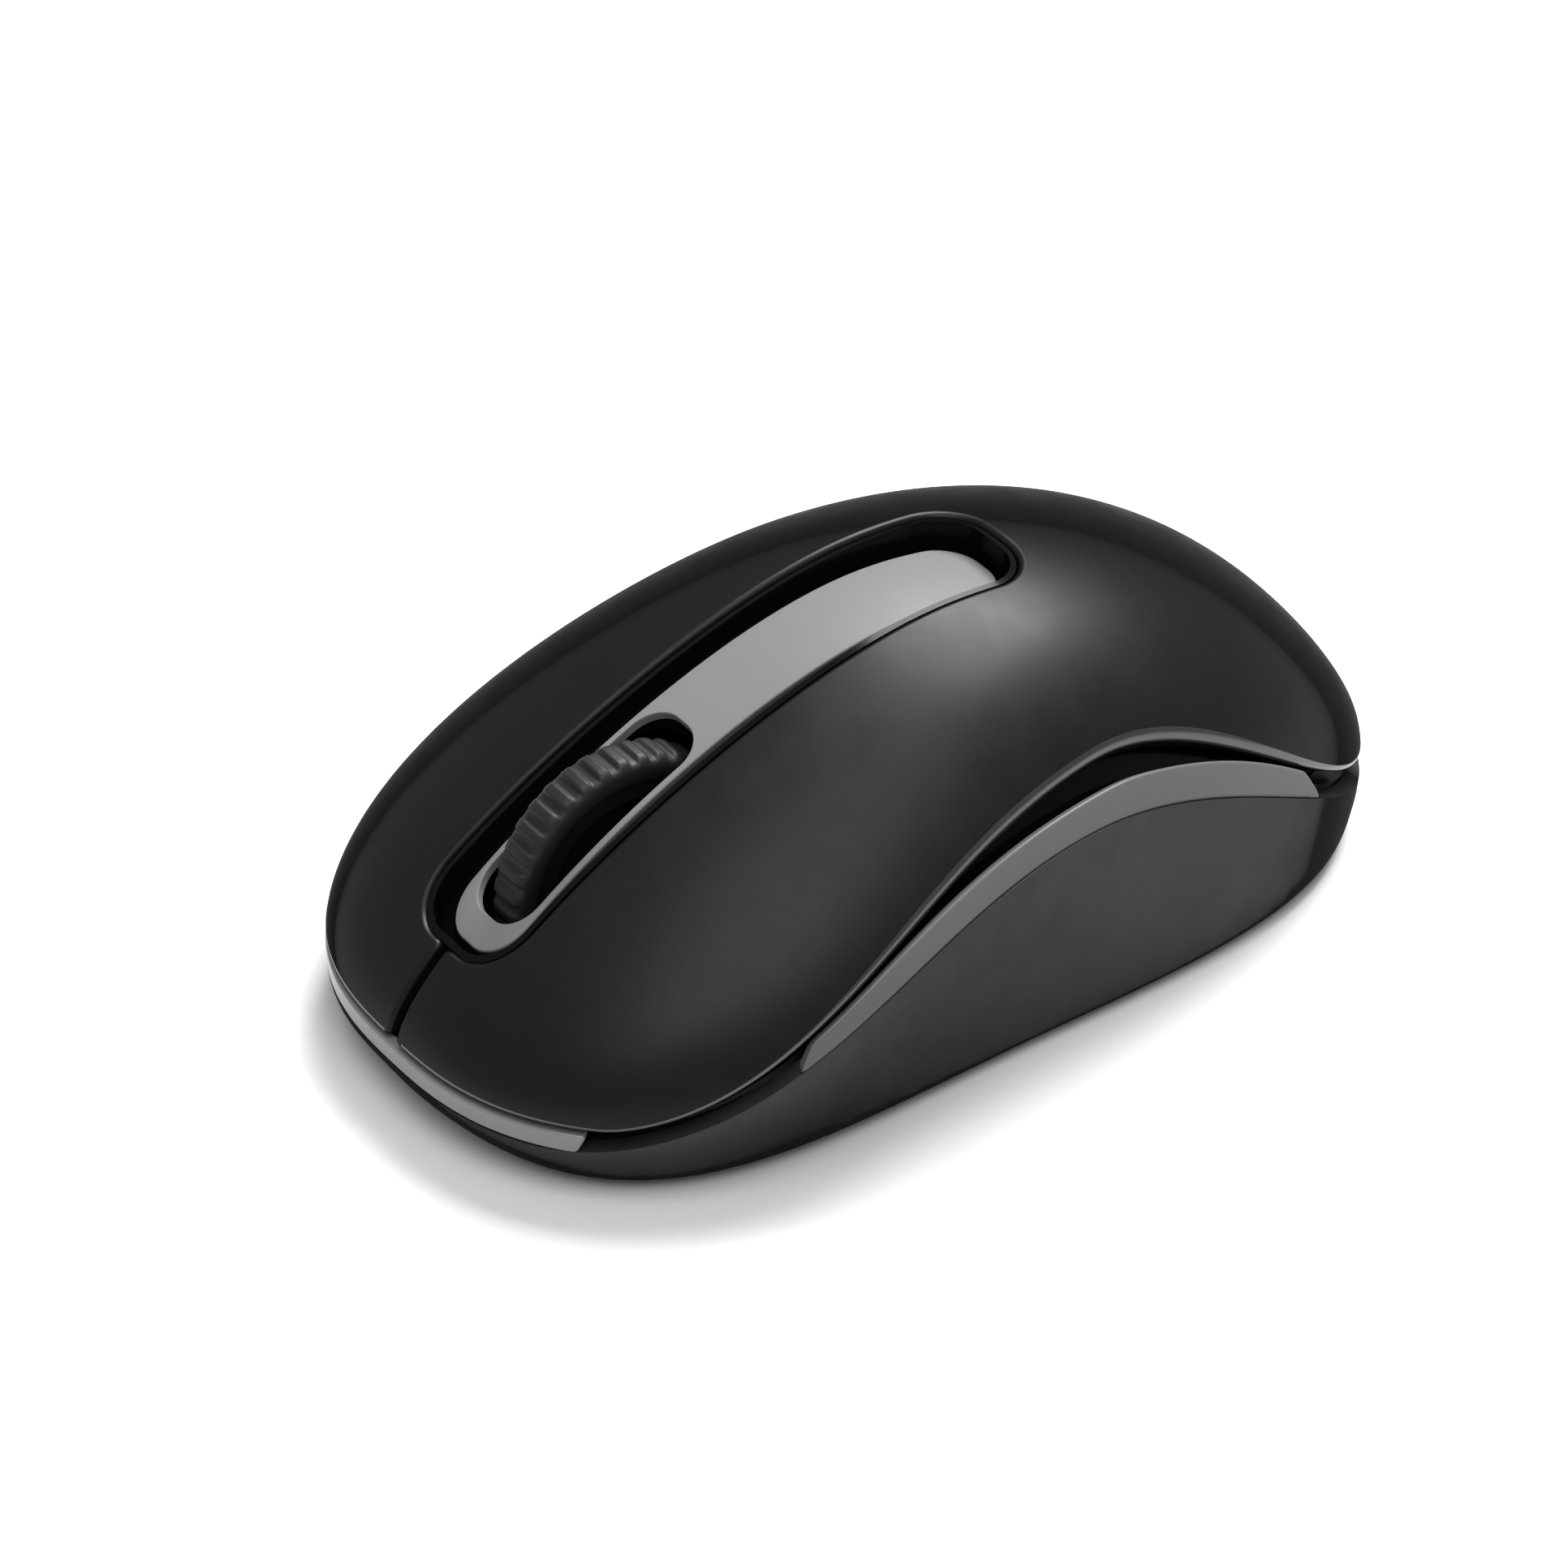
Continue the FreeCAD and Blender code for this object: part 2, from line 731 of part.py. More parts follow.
def make_bottom_shell():
    """The base: side wall, floor, screw posts, receiver bay and the openings underneath."""
    floor = size("base_height")
    shell = wall_block(floor, 0.0).cut(wall_block(size("floor_top"), size("base_wall")))
    shell = shell.cut(side_band(edge, level(FAR)))
    inside = wall_block(floor, 1.0)
    posts = []
    for side in (-1, 1):
        for name in ("case", "nose"):
            x = side * size(name + "_screw_side")
            posts.append((x, size(name + "_screw_back"), size("post_top")))
        x = side * size("board_screw_side")
        posts.append((x, size("board_screw_back"), size("board_bottom")))
    for x, y, top in posts:
        shell = shell.fuse(rod(size("post_radius"), x, y, floor + 0.5, top).common(inside))
    bay_x = size("receiver_side")
    bay_y = size("receiver_back")
    lowest = size("receiver_bottom")
    shoulder = lowest + size("cap_height") + size("bay_gap")
    ceiling = shoulder + size("plug_height") + size("bay_gap")
    wall = size("bay_wall")
    holes = []
    for name, bottom, top in (("cap", -1.0, shoulder), ("plug", shoulder, ceiling)):
        wide = size(name + "_thickness") / 2 + size("bay_gap")
        long = size(name + "_width") / 2 + size("bay_gap")
        sleeve = block(bay_x - wide - wall, bay_x + wide + wall, bay_y - long - wall,
                       bay_y + long + wall, floor + 0.5, top + wall)
        shell = shell.fuse(sleeve)
        holes.append(block(bay_x - wide, bay_x + wide, bay_y - long, bay_y + long, bottom, top))
    for hole in holes:
        shell = shell.cut(hole)
    for x, y, top in posts:
        if top == size("post_top"):
            head = size("screw_head_radius") + 0.15
            shell = shell.cut(rod(head, x, y, 0, floor + size("screw_head_height") + 0.5))
        shell = shell.cut(rod(size("screw_radius") + size("running_gap"), x, y, floor + 1, FAR))
    gap = size("door_gap")
    door_hole = block(-size("door_half_width") - gap, size("door_half_width") + gap,
                      size("door_front") - gap, size("door_rear") + gap, 0, size("floor_top") + 0.1)
    shell = shell.cut(door_hole)
    half_x = size("window_width") / 2
    half_y = size("window_length") / 2
    window_y = size("sensor_back")
    window = block(-half_x, half_x, window_y - half_y, window_y + half_y, 0, 3)
    shell = shell.cut(window)
    knob_x = size("knob_width") / 2 + 0.15
    knob_y = size("knob_length") / 2 + 0.15
    x = size("power_side")
    y = size("power_back")
    slot = block(x - knob_x, x + knob_x, y - knob_y, y + knob_y + size("power_travel"), 0, 3)
    shell = shell.cut(slot)
    for name in ("front", "rear"):
        wide = size(name + "_foot_width") / 2 + 0.1
        long = size(name + "_foot_length") / 2 + 0.1
        y = size(name + "_foot_back")
        recess = block(-wide, wide, y - long, y + long, 0, size("foot_thickness"))
        shell = shell.cut(recess)
    post = block(size("pivot_side") - 1.4, size("pivot_side") + 1.4, -41.3, -39.6,
                 floor + 0.5, size("pivot_height") + 1.8)
    pivot_bore = Part.makeCylinder(size("pivot_radius") + size("running_gap"), 6,
                                   vector(size("pivot_side"), -43, size("pivot_height")),
                                   vector(0, 1, 0))
    shell = shell.fuse(post.common(inside)).cut(pivot_bore)
    feature("bottom_shell", shell)


def make_mid_frame():
    """The dark band behind the gap between cover and base, its nose posts and nose tongue."""
    depth = size("band_depth")
    inner = hull(depth + size("band_wall"))
    above = side_band(seat, lambda y: lip(y) + size("band_overlap"))
    frame = hull(depth).cut(inner).common(above)
    low = side_band(seat, lambda y: edge(y) + size("ledge_height"))
    ledge = hull(size("trim_wall") + size("ledge_inset")).cut(inner).common(low)
    frame = frame.fuse(ledge)
    wide = size("tongue_half_width")
    tongue = block(-wide, wide, -FAR, size("tongue_rear"), size("tongue_bottom"), FAR)
    frame = frame.fuse(hull(depth).cut(inner).common(tongue))
    for side in (-1, 1):
        x = side * size("nose_screw_side")
        y = size("nose_screw_back")
        top = 10.0
        post = rod(size("post_radius"), x, y, size("post_top") + 0.2, top)
        web = block(x - 1.4, x + 1.4, -44.5, y, 8.0, top).common(hull(depth + 0.3))
        bore = rod(size("screw_radius") + size("running_gap"), x, y, 0, 9)
        lower_post = rod(size("post_radius") + 0.3, x, y, 0, size("post_top") + 0.2)
        frame = frame.cut(lower_post).fuse(post).fuse(web).cut(bore)
        cover_post = rod(size("post_radius") + 0.3, side * size("case_screw_side"),
                         size("case_screw_back"), 0, FAR)
        frame = frame.cut(cover_post)
    tray = size("tray_half_width") + 0.3
    room = block(-tray, tray, 0, size("tray_rear") + 0.3, 0, size("tray_top") + 0.3)
    feature("mid_frame", frame.cut(room))


def make_centre_bezel():
    """The tray in the slot between the keys: floor, upstanding rim and a leg."""
    gap = size("bezel_gap")
    depth = size("bezel_depth")
    below = hull(depth + size("bezel_wall"), True)
    half = size("slot_half_width") - gap
    front = size("slot_front") + gap
    rear = size("slot_rear") - gap
    corner = size("slot_corner") - gap
    outline = strip(half, front, rear, corner, 5.0, FAR)
    floor = hull(depth, True).cut(below).common(outline)
    wall = size("bezel_rim_wall")
    ring = outline.cut(strip(half - wall, front + wall, rear - wall, corner - wall, 4.0, FAR))
    rim = hull(size("bezel_rim_depth")).cut(below).common(ring)
    leg = block(-3.0, 3.0, 2.0, 8.0, size("tray_top"), FAR).common(hull(depth + 0.3, True))
    opening = wheel_opening(0.4)
    feature("centre_bezel", floor.fuse(rim).fuse(leg).cut(opening))


def wheel_opening(margin):
    """The upright hole that the wheel stands in."""
    half = size("opening_half_width") + margin
    front = size("opening_front") - margin
    rear = size("opening_rear") + margin
    return strip(half, front, rear, size("opening_corner") + margin, 0.0, FAR)


def make_centre_inlay():
    """The light strip laid in the tray, with the wheel's opening through it."""
    outline = strip(size("inlay_half_width"), size("inlay_front"), size("inlay_rear"),
                    size("inlay_corner"), 5.0, FAR)
    plate = hull(size("inlay_depth"), True).cut(hull(size("bezel_depth"), True)).common(outline)
    feature("centre_inlay", plate.cut(wheel_opening(0.0)))


def crescent_prism(side):
    """One side's half of the space, its ends slanted to follow the crescents' ends."""
    front = size("trim_front")
    rear = size("trim_rear")
    slant = size("trim_slant")
    ends = [(front, 0.0), (front, seat(front)), (front + slant, trim_top(front + slant)),
            (front + slant, FAR), (rear - slant, FAR), (rear - slant, trim_top(rear - slant)),
            (rear, seat(rear)), (rear, 0.0)]
    corners = [vector(0, y, z) for y, z in ends]
    outline = Part.makePolygon(corners + corners[:1])
    return Part.Face(outline).extrude(vector(side * FAR, 0, 0))


def make_side_trims():
    """The crescent on each side of the base's edge."""
    band = side_band(seat, trim_top)
    inner = hull(size("trim_wall"))
    for label, side in (("side_trim_left", 1), ("side_trim_right", -1)):
        wedge = crescent_prism(side).common(band)
        feature(label, hull(0.0).common(wedge).cut(inner))


def make_front_trim():
    """The strip across the nose, standing on the base's edge."""
    half = size("nose_trim_half_width")
    top = size("nose_trim_top")
    low = size("edge_low")
    bar = block(-half, half, -FAR, size("nose_trim_rear"), low, top)
    for side in (-1, 1):
        x = side * half
        slant = Part.makePolygon([vector(x, -FAR, low), vector(x, -FAR, top),
                                  vector(x - side * size("nose_trim_slant"), -FAR, low),
                                  vector(x, -FAR, low)])
        bar = bar.cut(Part.Face(slant).extrude(vector(0, FAR, 0)))
    wedge = bar.common(side_band(seat, level(FAR)))
    feature("front_trim", hull(0.0).common(wedge).cut(hull(size("trim_wall"))))


def make_feet():
    rounded_plate("front_foot", "@front_foot_width", "@front_foot_length", "@foot_thickness",
                  "2", y="@front_foot_back")
    rounded_plate("rear_foot", "@rear_foot_width", "@rear_foot_length", "@foot_thickness",
                  "0.7", y="@rear_foot_back")


def make_label():
    """A blank label stuck on the underside."""
    rounded_plate("blank_label", "20", "12", "0.12", "1.5", y="-28", z="@base_height - 0.12")


# ---------------------------------------------------------------- battery compartment

def make_battery_tray():
    """The box over the two cells, open underneath."""
    item = body("battery_tray")
    length = "@tray_rear - @tray_front"
    middle = "(@tray_rear + @tray_front) / 2"
    plan = sketch_on(item, "XY_Plane", y=middle)
    rectangle(plan, "2 * @tray_half_width", length)
    pad(item, plan, "@tray_top - @floor_top")
    round_edges(item, "1.5", lying_along_y)
    hollow = sketch_on(item, "XY_Plane", y=middle)
    rectangle(hollow, "2 * (@tray_half_width - @tray_wall)", "%s - 2 * @tray_wall" % length)
    pocket(item, hollow, "@tray_top - @floor_top - @tray_wall", upwards=True)
    place(item, z="@floor_top")


def make_cells():
    """Two AAA cells lying side by side, nose to tail the same way."""
    for label, side in (("cell_left", "1"), ("cell_right", "-1")):
        can = cylinder(label + "_can", "@cell_radius", "@cell_length")
        tip = cylinder(label + "_tip", "@cell_tip_radius", "@cell_tip_length", z="@cell_length")
        item = fuse(label, can, tip)
        item.Placement.Rotation = FreeCAD.Rotation(vector(1, 0, 0), -90)
        place(item, "%s * @cell_side" % side, "@cell_front", "@cell_height")
        PARTS.append(item)


def make_contacts():
    """Leaf contacts with a raised nub at the cells' front ends, flat plates at their rear."""
    leaves = []
    plates = []
    front = "@cell_front - 1"
    rear = "@cell_front + @cell_length + @cell_tip_length + 0.22"
    for side in ("-1", "1"):
        x = "%s * @cell_side" % side
        leaf = box("contact_leaf", "7", "0.3", "9", x, front, "@cell_height - 5")
        nub = cylinder("contact_nub", "1.6", "0.7")
        nub.Placement.Rotation = FreeCAD.Rotation(vector(1, 0, 0), -90)
        place(nub, x, front + " + 0.1", "@cell_height")
        leaves.append(fuse("contact_spring", leaf, nub))
        plates.append(box("contact_plate", "8", "0.4", "8", x, rear, "@cell_height - 4"))
    group("front_contacts", leaves)
    group("rear_contacts", plates)


def make_battery_door():
    """The door: a plate, two hooks at its front end and a latch tongue at its rear."""
    item = body("battery_door")
    length = "@door_rear - @door_front"
    middle = "(@door_rear + @door_front) / 2"
    plan = sketch_on(item, "XY_Plane", y=middle)
    rectangle(plan, "2 * @door_half_width", length)
    pad(item, plan, "@door_thickness")
    round_edges(item, "0.2", lying_along_y)
    for side in ("-1", "1"):
        x = "%s * 10.1" % side
        lift = sketch_on(item, "XY_Plane", x, "@door_front + 0.5", "@door_thickness - 0.2")
        rectangle(lift, "1.5", "1")
        pad(item, lift, "1.8")
        hook = sketch_on(item, "XY_Plane", x, "@door_front - 0.35", "@door_thickness + 0.6")
        rectangle(hook, "1.5", "2.7")
        pad(item, hook, "1")
    tongue = sketch_on(item, "XY_Plane", y="@door_rear - 0.7", z="@door_thickness - 0.2")
    rectangle(tongue, "8", "0.8")
    pad(item, tongue, "2.6")
    grip = sketch_on(item, "XY_Plane", y="@door_rear - 6")
    rectangle(grip, "9", "1")
    pocket(item, grip, "0.6", upwards=True)
    place(item, z="@base_height")


# ---------------------------------------------------------------- circuit board

def make_board():
    """The main board, with the wheel's notch, the sensor's hole and two screw holes."""
    item = body("main_board")
    plan = sketch_on(item, "XY_Plane", y="(@board_front + @board_rear) / 2")
    rectangle(plan, "2 * @board_half_width", "@board_rear - @board_front")
    pad(item, plan, "@board_thickness")
    round_edges(item, "3", upright)
    notch = sketch_on(item, "XY_Plane", y="(@board_front + @board_notch_rear) / 2 - 2")
    rectangle(notch, "2 * @board_notch_half_width", "@board_notch_rear - @board_front + 4")
    pocket(item, notch, "@board_thickness", upwards=True)
    hole = sketch_on(item, "XY_Plane", y="@sensor_back")
    rectangle(hole, "5.6", "4.6")
    pocket(item, hole, "@board_thickness", upwards=True)
    for side in ("-1", "1"):
        x = "%s * @board_screw_side" % side
        bore = sketch_on(item, "XY_Plane", x, "@board_screw_back")
        circle(bore, "@screw_radius + 0.1")
        pocket(item, bore, "@board_thickness", upwards=True)
    place(item, z="@board_bottom")


SWITCHES = {
    "left": ("@switch_side", "@switch_height", "@plunger_back", "@plunger_proud"),
    "right": ("-@switch_side", "@switch_height", "@plunger_back", "@plunger_proud"),
    "middle": ("-@middle_switch_side", "@middle_switch_height", "@wheel_back",
               "@middle_plunger_proud"),
}


def make_switches():
    """The three microswitches, each a body with a sliding plunger in its top."""
    for name, (side, height, back, proud) in SWITCHES.items():
        item = body(name + "_switch")
        plan = sketch_on(item, "XY_Plane")
        rectangle(plan, "@switch_width", "@switch_length")
        pad(item, plan, height)
        round_edges(item, "0.4", upright)
        well = sketch_on(item, "XY_Plane", y="%s - @switch_back" % back, z=height)
        rectangle(well, "@plunger_width + 2 * @plunger_fit", "@plunger_length + 2 * @plunger_fit")
        pocket(item, well, "@plunger_height")
        place(item, side, "@switch_back", "@board_top")
        top = "@board_top + %s + %s - @plunger_height" % (height, proud)
        rounded_plate(name + "_plunger", "@plunger_width", "@plunger_length", "@plunger_height",
                      "0.3", side, back, top)


def make_encoder():
    """The scroll encoder: a housing on the board and the rotor that the axle turns."""
    housing = body("encoder_housing")
    plan = sketch_on(housing, "XY_Plane")
    rectangle(plan, "@encoder_width", "@encoder_length")
    pad(housing, plan, "@encoder_height")
    round_edges(housing, "0.4", upright)
    bore = sketch_on(housing, "YZ_Plane", "0", "@wheel_height - @board_top")
    circle(bore, "@rotor_radius + @running_gap")
    pocket(housing, bore, "@encoder_width + 2", both_ways=True)
    place(housing, "@encoder_side", "@wheel_back", "@board_top")
    rotor = body("encoder_rotor")
    disc = sketch_on(rotor, "YZ_Plane")
    circle(disc, "@rotor_radius")
    pad(rotor, disc, "@encoder_width - 0.2", both_ways=True)
    socket = sketch_on(rotor, "YZ_Plane")
    hexagon(socket, "@rotor_hex_flat")
    pocket(rotor, socket, "@encoder_width + 2", both_ways=True)
    place(rotor, "@encoder_side", "@wheel_back", "@wheel_height")


def make_sensor():
    """The optical sensor on the board, its lens on the floor and its lamp."""
    rounded_plate("sensor_chip", "@sensor_width", "@sensor_length", "@sensor_height", "0.3",
                  y="@sensor_back", z="@board_top")
    lens = body("sensor_lens")
    plate = sketch_on(lens, "XY_Plane")
    rectangle(plate, "12", "6.4")
    pad(lens, plate, "1.2")
    round_edges(lens, "0.8", upright)
    prism = sketch_on(lens, "XY_Plane")
    circle(prism, "2.2")
    pad(lens, prism, "@board_bottom - @floor_top - 0.2")
    eye = sketch_on(lens, "XY_Plane", z="-0.8")
    circle(eye, "1.8")
    pad(lens, eye, "0.9")
    place(lens, y="@sensor_back", z="@floor_top")
    lamp = body("sensor_lamp")
    glass = sketch_on(lamp, "YZ_Plane")
    circle(glass, "1.5")
    pad(lamp, glass, "4.2")
    round_edges(lamp, "1.2", lambda e: e.BoundBox.XMin > 4 and e.BoundBox.XLength < 0.01)
    flange = sketch_on(lamp, "YZ_Plane")
    circle(flange, "1.65")
    pad(lamp, flange, "0.6")
    place(lamp, "-9.4", "@sensor_back", "@board_top + 1.7")


def make_small_parts():
    """Radio chip, crystal, capacitor and the power switch's housing."""
    rounded_plate("radio_chip", "4", "4", "0.9", "0.2", "13.5", "-18.6", "@board_top")
    rounded_plate("crystal_can", "3.4", "4.6", "2.6", "1.4", "-13.5", "-18.2", "@board_top")
    can = cylinder("capacitor_can", "2.3", "4.6", "12.2", "-11.2", "@board_top")
    vent = box("capacitor_score", "3.4", "0.3", "0.3", "12.2", "-11.2", "@board_top + 4.4")
    PARTS.append(cut("capacitor", can, vent))
    housing = body("power_switch")
    plan = sketch_on(housing, "XY_Plane")
    rectangle(plan, "6", "9")
    pad(housing, plan, "1.9")
    track = sketch_on(housing, "XY_Plane")
    rectangle(track, "1.9", "@power_travel + 1.9")
    pocket(housing, track, "1.5", upwards=True)
    place(housing, "@power_side", "@power_back + @power_travel / 2", "@board_bottom - 1.9")


def make_power_knob():
    """The sliding knob: thumb piece in the floor's slot, flange above it and a drive stem."""
    item = body("power_knob")
    thumb = sketch_on(item, "XY_Plane")
    rectangle(thumb, "@knob_width", "@knob_length")
    pad(item, thumb, "@floor_top - @base_height")
    for number in ("-1", "0", "1"):
        ridge = sketch_on(item, "XY_Plane", y="%s * 1" % number)
        rectangle(ridge, "@knob_width + 1", "0.4")
        pocket(item, ridge, "0.3", upwards=True)
    flange = sketch_on(item, "XY_Plane", z="@floor_top - @base_height - 0.1 + 0.2")
    rectangle(flange, "@knob_width + 1.8", "@knob_length + 1.6")
    pad(item, flange, "0.8")
    neck = sketch_on(item, "XY_Plane", z="@floor_top - @base_height - 0.4")
    rectangle(neck, "@knob_width - 0.4", "@knob_length - 0.4")
    pad(item, neck, "0.8")
    stem = sketch_on(item, "XY_Plane", z="@floor_top - @base_height + 0.5")
    rectangle(stem, "1.5", "1.5")
    pad(item, stem, "2.4")
    place(item, "@power_side", "@power_back", "@base_height")


# ---------------------------------------------------------------- scroll wheel

def make_wheel():
    """Hub with its axle and hexagonal end, and the ribbed rubber tyre round it."""
    hub = body("wheel_hub")
    disc = sketch_on(hub, "YZ_Plane")
    circle(disc, "@tyre_bore")
    pad(hub, disc, "@tyre_width - 0.4", both_ways=True)
    for reach, way in (("@tyre_width / 2 - 0.2", False), ("-@tyre_width / 2 + 0.2", True)):
        dish = sketch_on(hub, "YZ_Plane", z=reach)
        circle(dish, "@tyre_bore - 1.4")
        circle(dish, "@axle_radius + 1.2")
        pocket(hub, dish, "0.8", upwards=way)
    collar = sketch_on(hub, "YZ_Plane")
    circle(collar, "@axle_radius + 0.8")
    pad(hub, collar, "@carrier_inner - 0.2", both_ways=True)
    axle = sketch_on(hub, "YZ_Plane")
    circle(axle, "@axle_radius")
    pad(hub, axle, "2 * @axle_half_length", both_ways=True)
    drive = sketch_on(hub, "YZ_Plane")
    hexagon(drive, "@hex_flat")
    pad(hub, drive, "@hex_reach")
    place(hub, y="@wheel_back", z="@wheel_height")
    tyre = body("wheel_tyre")
    ring = sketch_on(tyre, "YZ_Plane")
    circle(ring, "@tyre_radius")
    circle(ring, "@tyre_bore")
    pad(tyre, ring, "@tyre_width", both_ways=True)
    round_edges(tyre, "@tyre_shoulder", lambda e: e.BoundBox.YLength > 2 * size("tyre_bore") + 1)
    groove = sketch_on(tyre, "YZ_Plane", "@tyre_radius", "0")
    rectangle(groove, "2 * @tyre_groove", "0.7")
    nick = pocket(tyre, groove, "@tyre_width - 1.6", both_ways=True)
    ribs = tyre.newObject("PartDesign::PolarPattern", "Ribs")
    ribs.Originals = [nick]
    ribs.Axis = (groove_axis(tyre), [""])
    ribs.Angle = 360
    ribs.setExpression("Occurrences", cell("@tyre_rib_count"))
    tyre.Tip = ribs
    place(tyre, y="@wheel_back", z="@wheel_height")


def groove_axis(item):
    """The body's own X axis, which the wheel turns about."""
    return [f for f in item.Origin.OriginFeatures if f.Role == "X_Axis"][0]


def make_carrier():
    """The tilting frame that holds the axle: two cheeks, two bars, pivot pins and a foot."""
    item = body("wheel_carrier")
    low = "8.4"
    high = "@carrier_rear"
    outline = [
        ("@carrier_front", low), ("-17.5", low), ("-15", "10.9"), (high, "10.9"),
        (high, "12.9"), ("-18", "13.4"), ("@wheel_back + 2.6", "@wheel_height + 2.6"),
        ("@wheel_back - 2.6", "@wheel_height + 2.6"), ("-35", "10.6"), ("@carrier_front", "10.6"),
    ]
    cheeks = sketch_on(item, "YZ_Plane")
    polygon(cheeks, outline)
    pad(item, cheeks, "@carrier_outer", both_ways=True)
    middle = sketch_on(item, "XY_Plane", y="(@carrier_front + @carrier_rear) / 2")
    rectangle(middle, "@carrier_inner", "@carrier_rear - @carrier_front - 2.6")
    pocket(item, middle, "30", upwards=True)
    arm = sketch_on(item, "XY_Plane", "-(@middle_switch_side + 1 + 4) / 2", "@wheel_back",
                    "@board_top + @middle_switch_height + @middle_plunger_proud + @push_gap")
    rectangle(arm, "@middle_switch_side + 1 - 4", "@arm_width")
    pad(item, arm, "1.6")
    bore = sketch_on(item, "YZ_Plane", "@wheel_back", "@wheel_height")
    circle(bore, "@axle_radius + @running_gap")
    pocket(item, bore, "2 * @axle_half_length + 0.2", both_ways=True)
    lugs = (("@carrier_front + 0.65", low, "2.2"), ("@carrier_rear - 0.65", low, "4.5"))
    for back, bottom, tall in lugs:
        lug = sketch_on(item, "XY_Plane", "(@pivot_side + 1.3 + 4) / 2", back, bottom)
        rectangle(lug, "@pivot_side + 1.3 - 4", "1.3")
        pad(item, lug, tall)
    for back in ("@carrier_front + 1.3", "@carrier_rear - 1.3"):
        pin = sketch_on(item, "XZ_Plane", "@pivot_side", "@pivot_height", "-(%s)" % back)
        circle(pin, "@pivot_radius")
        made = pad(item, pin, "3.2")
        made.Reversed = "rear" in back
    item.Placement = FreeCAD.Placement()


def make_pivot_post():
    """The post on the board that carries the frame's rear pivot pin."""
    item = body("pivot_post")
    plan = sketch_on(item, "XY_Plane")
    rectangle(plan, "2.8", "1.7")
    pad(item, plan, "@pivot_height + 1.8 - @board_top")
    bore = sketch_on(item, "XZ_Plane", "0", "@pivot_height - @board_top")
    circle(bore, "@pivot_radius + @running_gap")
    pocket(item, bore, "6", both_ways=True)
    place(item, "@pivot_side", "@carrier_rear + 0.2 + 0.85", "@board_top")


# ---------------------------------------------------------------- receiver and screws

def make_receiver():
    """The USB receiver: a moulded cap and the plug's folded steel shell."""
    cap = rounded_plate("receiver_cap", "@cap_thickness", "@cap_width", "@cap_height", "1",
                        "@receiver_side", "@receiver_back", "@receiver_bottom")
    grip = sketch_on(cap, "XY_Plane")
    rectangle(grip, "2.4", "6")
    pocket(cap, grip, "0.8", upwards=True)
    plug = body("receiver_plug")
    plan = sketch_on(plug, "XY_Plane")
    rectangle(plan, "@plug_thickness", "@plug_width")
    pad(plug, plan, "@plug_height")
    mouth = sketch_on(plug, "XY_Plane", z="@plug_height")
    rectangle(mouth, "@plug_thickness - 2 * @plug_sheet", "@plug_width - 2 * @plug_sheet")
    pocket(plug, mouth, "@plug_height - 2")
    tongue = sketch_on(plug, "XY_Plane", "-@plug_thickness / 4", "0", "1.8")
    rectangle(tongue, "1.6", "@plug_width - 2 * @plug_sheet - 0.6")
    pad(plug, tongue, "@plug_height - 3")
    for side in ("-1", "1"):
        hole = sketch_on(plug, "YZ_Plane", "%s * 2.8" % side, "7.4")
        rectangle(hole, "2", "2.4")
        pocket(plug, hole, "20", both_ways=True)
    place(plug, "@receiver_side", "@receiver_back", "@receiver_bottom + @cap_height")


def screw(name, x, y, head_bottom, reach, upwards):
    """A cross-headed screw; its shank points up from the head or down."""
    head = cylinder(name + "_head", "@screw_head_radius", "@screw_head_height", x, y, head_bottom)
    if upwards:
        start = "%s + @screw_head_height - 0.1" % head_bottom
        recess = head_bottom
    else:
        start = "%s - %s + 0.1" % (head_bottom, reach)
        recess = "%s + @screw_head_height - 0.6" % head_bottom
    shank = cylinder(name + "_shank", "@screw_radius", reach, x, y, start)
    solid = fuse(name, head, shank)
    for number, (wide, long) in enumerate((("2", "0.5"), ("0.5", "2"))):
        slot = box("%s_slot%d" % (name, number), wide, long, "0.6", x, y, recess)
        solid = cut("%s_%d" % (name, number), solid, slot)
    return solid


def make_screws():
    """Four screws up into the casing and two down into the board's posts."""
    case = []
    board = []
    for side in ("-1", "1"):
        x = "%s * @case_screw_side" % side
        case.append(screw("rear_screw", x, "@case_screw_back", "@base_height + 0.4", "11", True))
        x = "%s * @nose_screw_side" % side
        case.append(screw("nose_screw", x, "@nose_screw_back", "@base_height + 0.4", "6", True))
        x = "%s * @board_screw_side" % side
        board.append(screw("board_screw", x, "@board_screw_back", "@board_top", "5", False))
    group("case_screws", case)
    group("board_screws", board)


# ---------------------------------------------------------------- build, check and write

def write_parts():
    document.recompute()
    for item in document.Objects:
        if "Invalid" in item.State or "Error" in item.State:
            raise RuntimeError("%s failed: %s" % (item.Label, item.State))
    for item in PARTS:
        if item.Shape.isNull() or not item.Shape.isValid():
            raise RuntimeError("%s has no valid shape" % item.Label)
    os.makedirs("parts", exist_ok=True)
    for item in PARTS:
        item.Shape.exportStep("parts/%s.step" % item.Label)
        print(item.Label, len(item.Shape.Solids), round(item.Shape.Volume, 1))


make_bottom_shell()
make_cover_parts()
make_mid_frame()
make_centre_bezel()
make_centre_inlay()
make_side_trims()
make_front_trim()
make_feet()
make_label()
make_battery_tray()
make_cells()
make_contacts()
make_battery_door()
make_board()
make_switches()
make_encoder()
make_sensor()
make_small_parts()
make_power_knob()
make_wheel()
make_carrier()
make_pivot_post()
make_receiver()
make_screws()
write_parts()
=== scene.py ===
import json
import math

import bpy
import numpy as np
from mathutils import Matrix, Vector
from mathutils.geometry import delaunay_2d_cdt


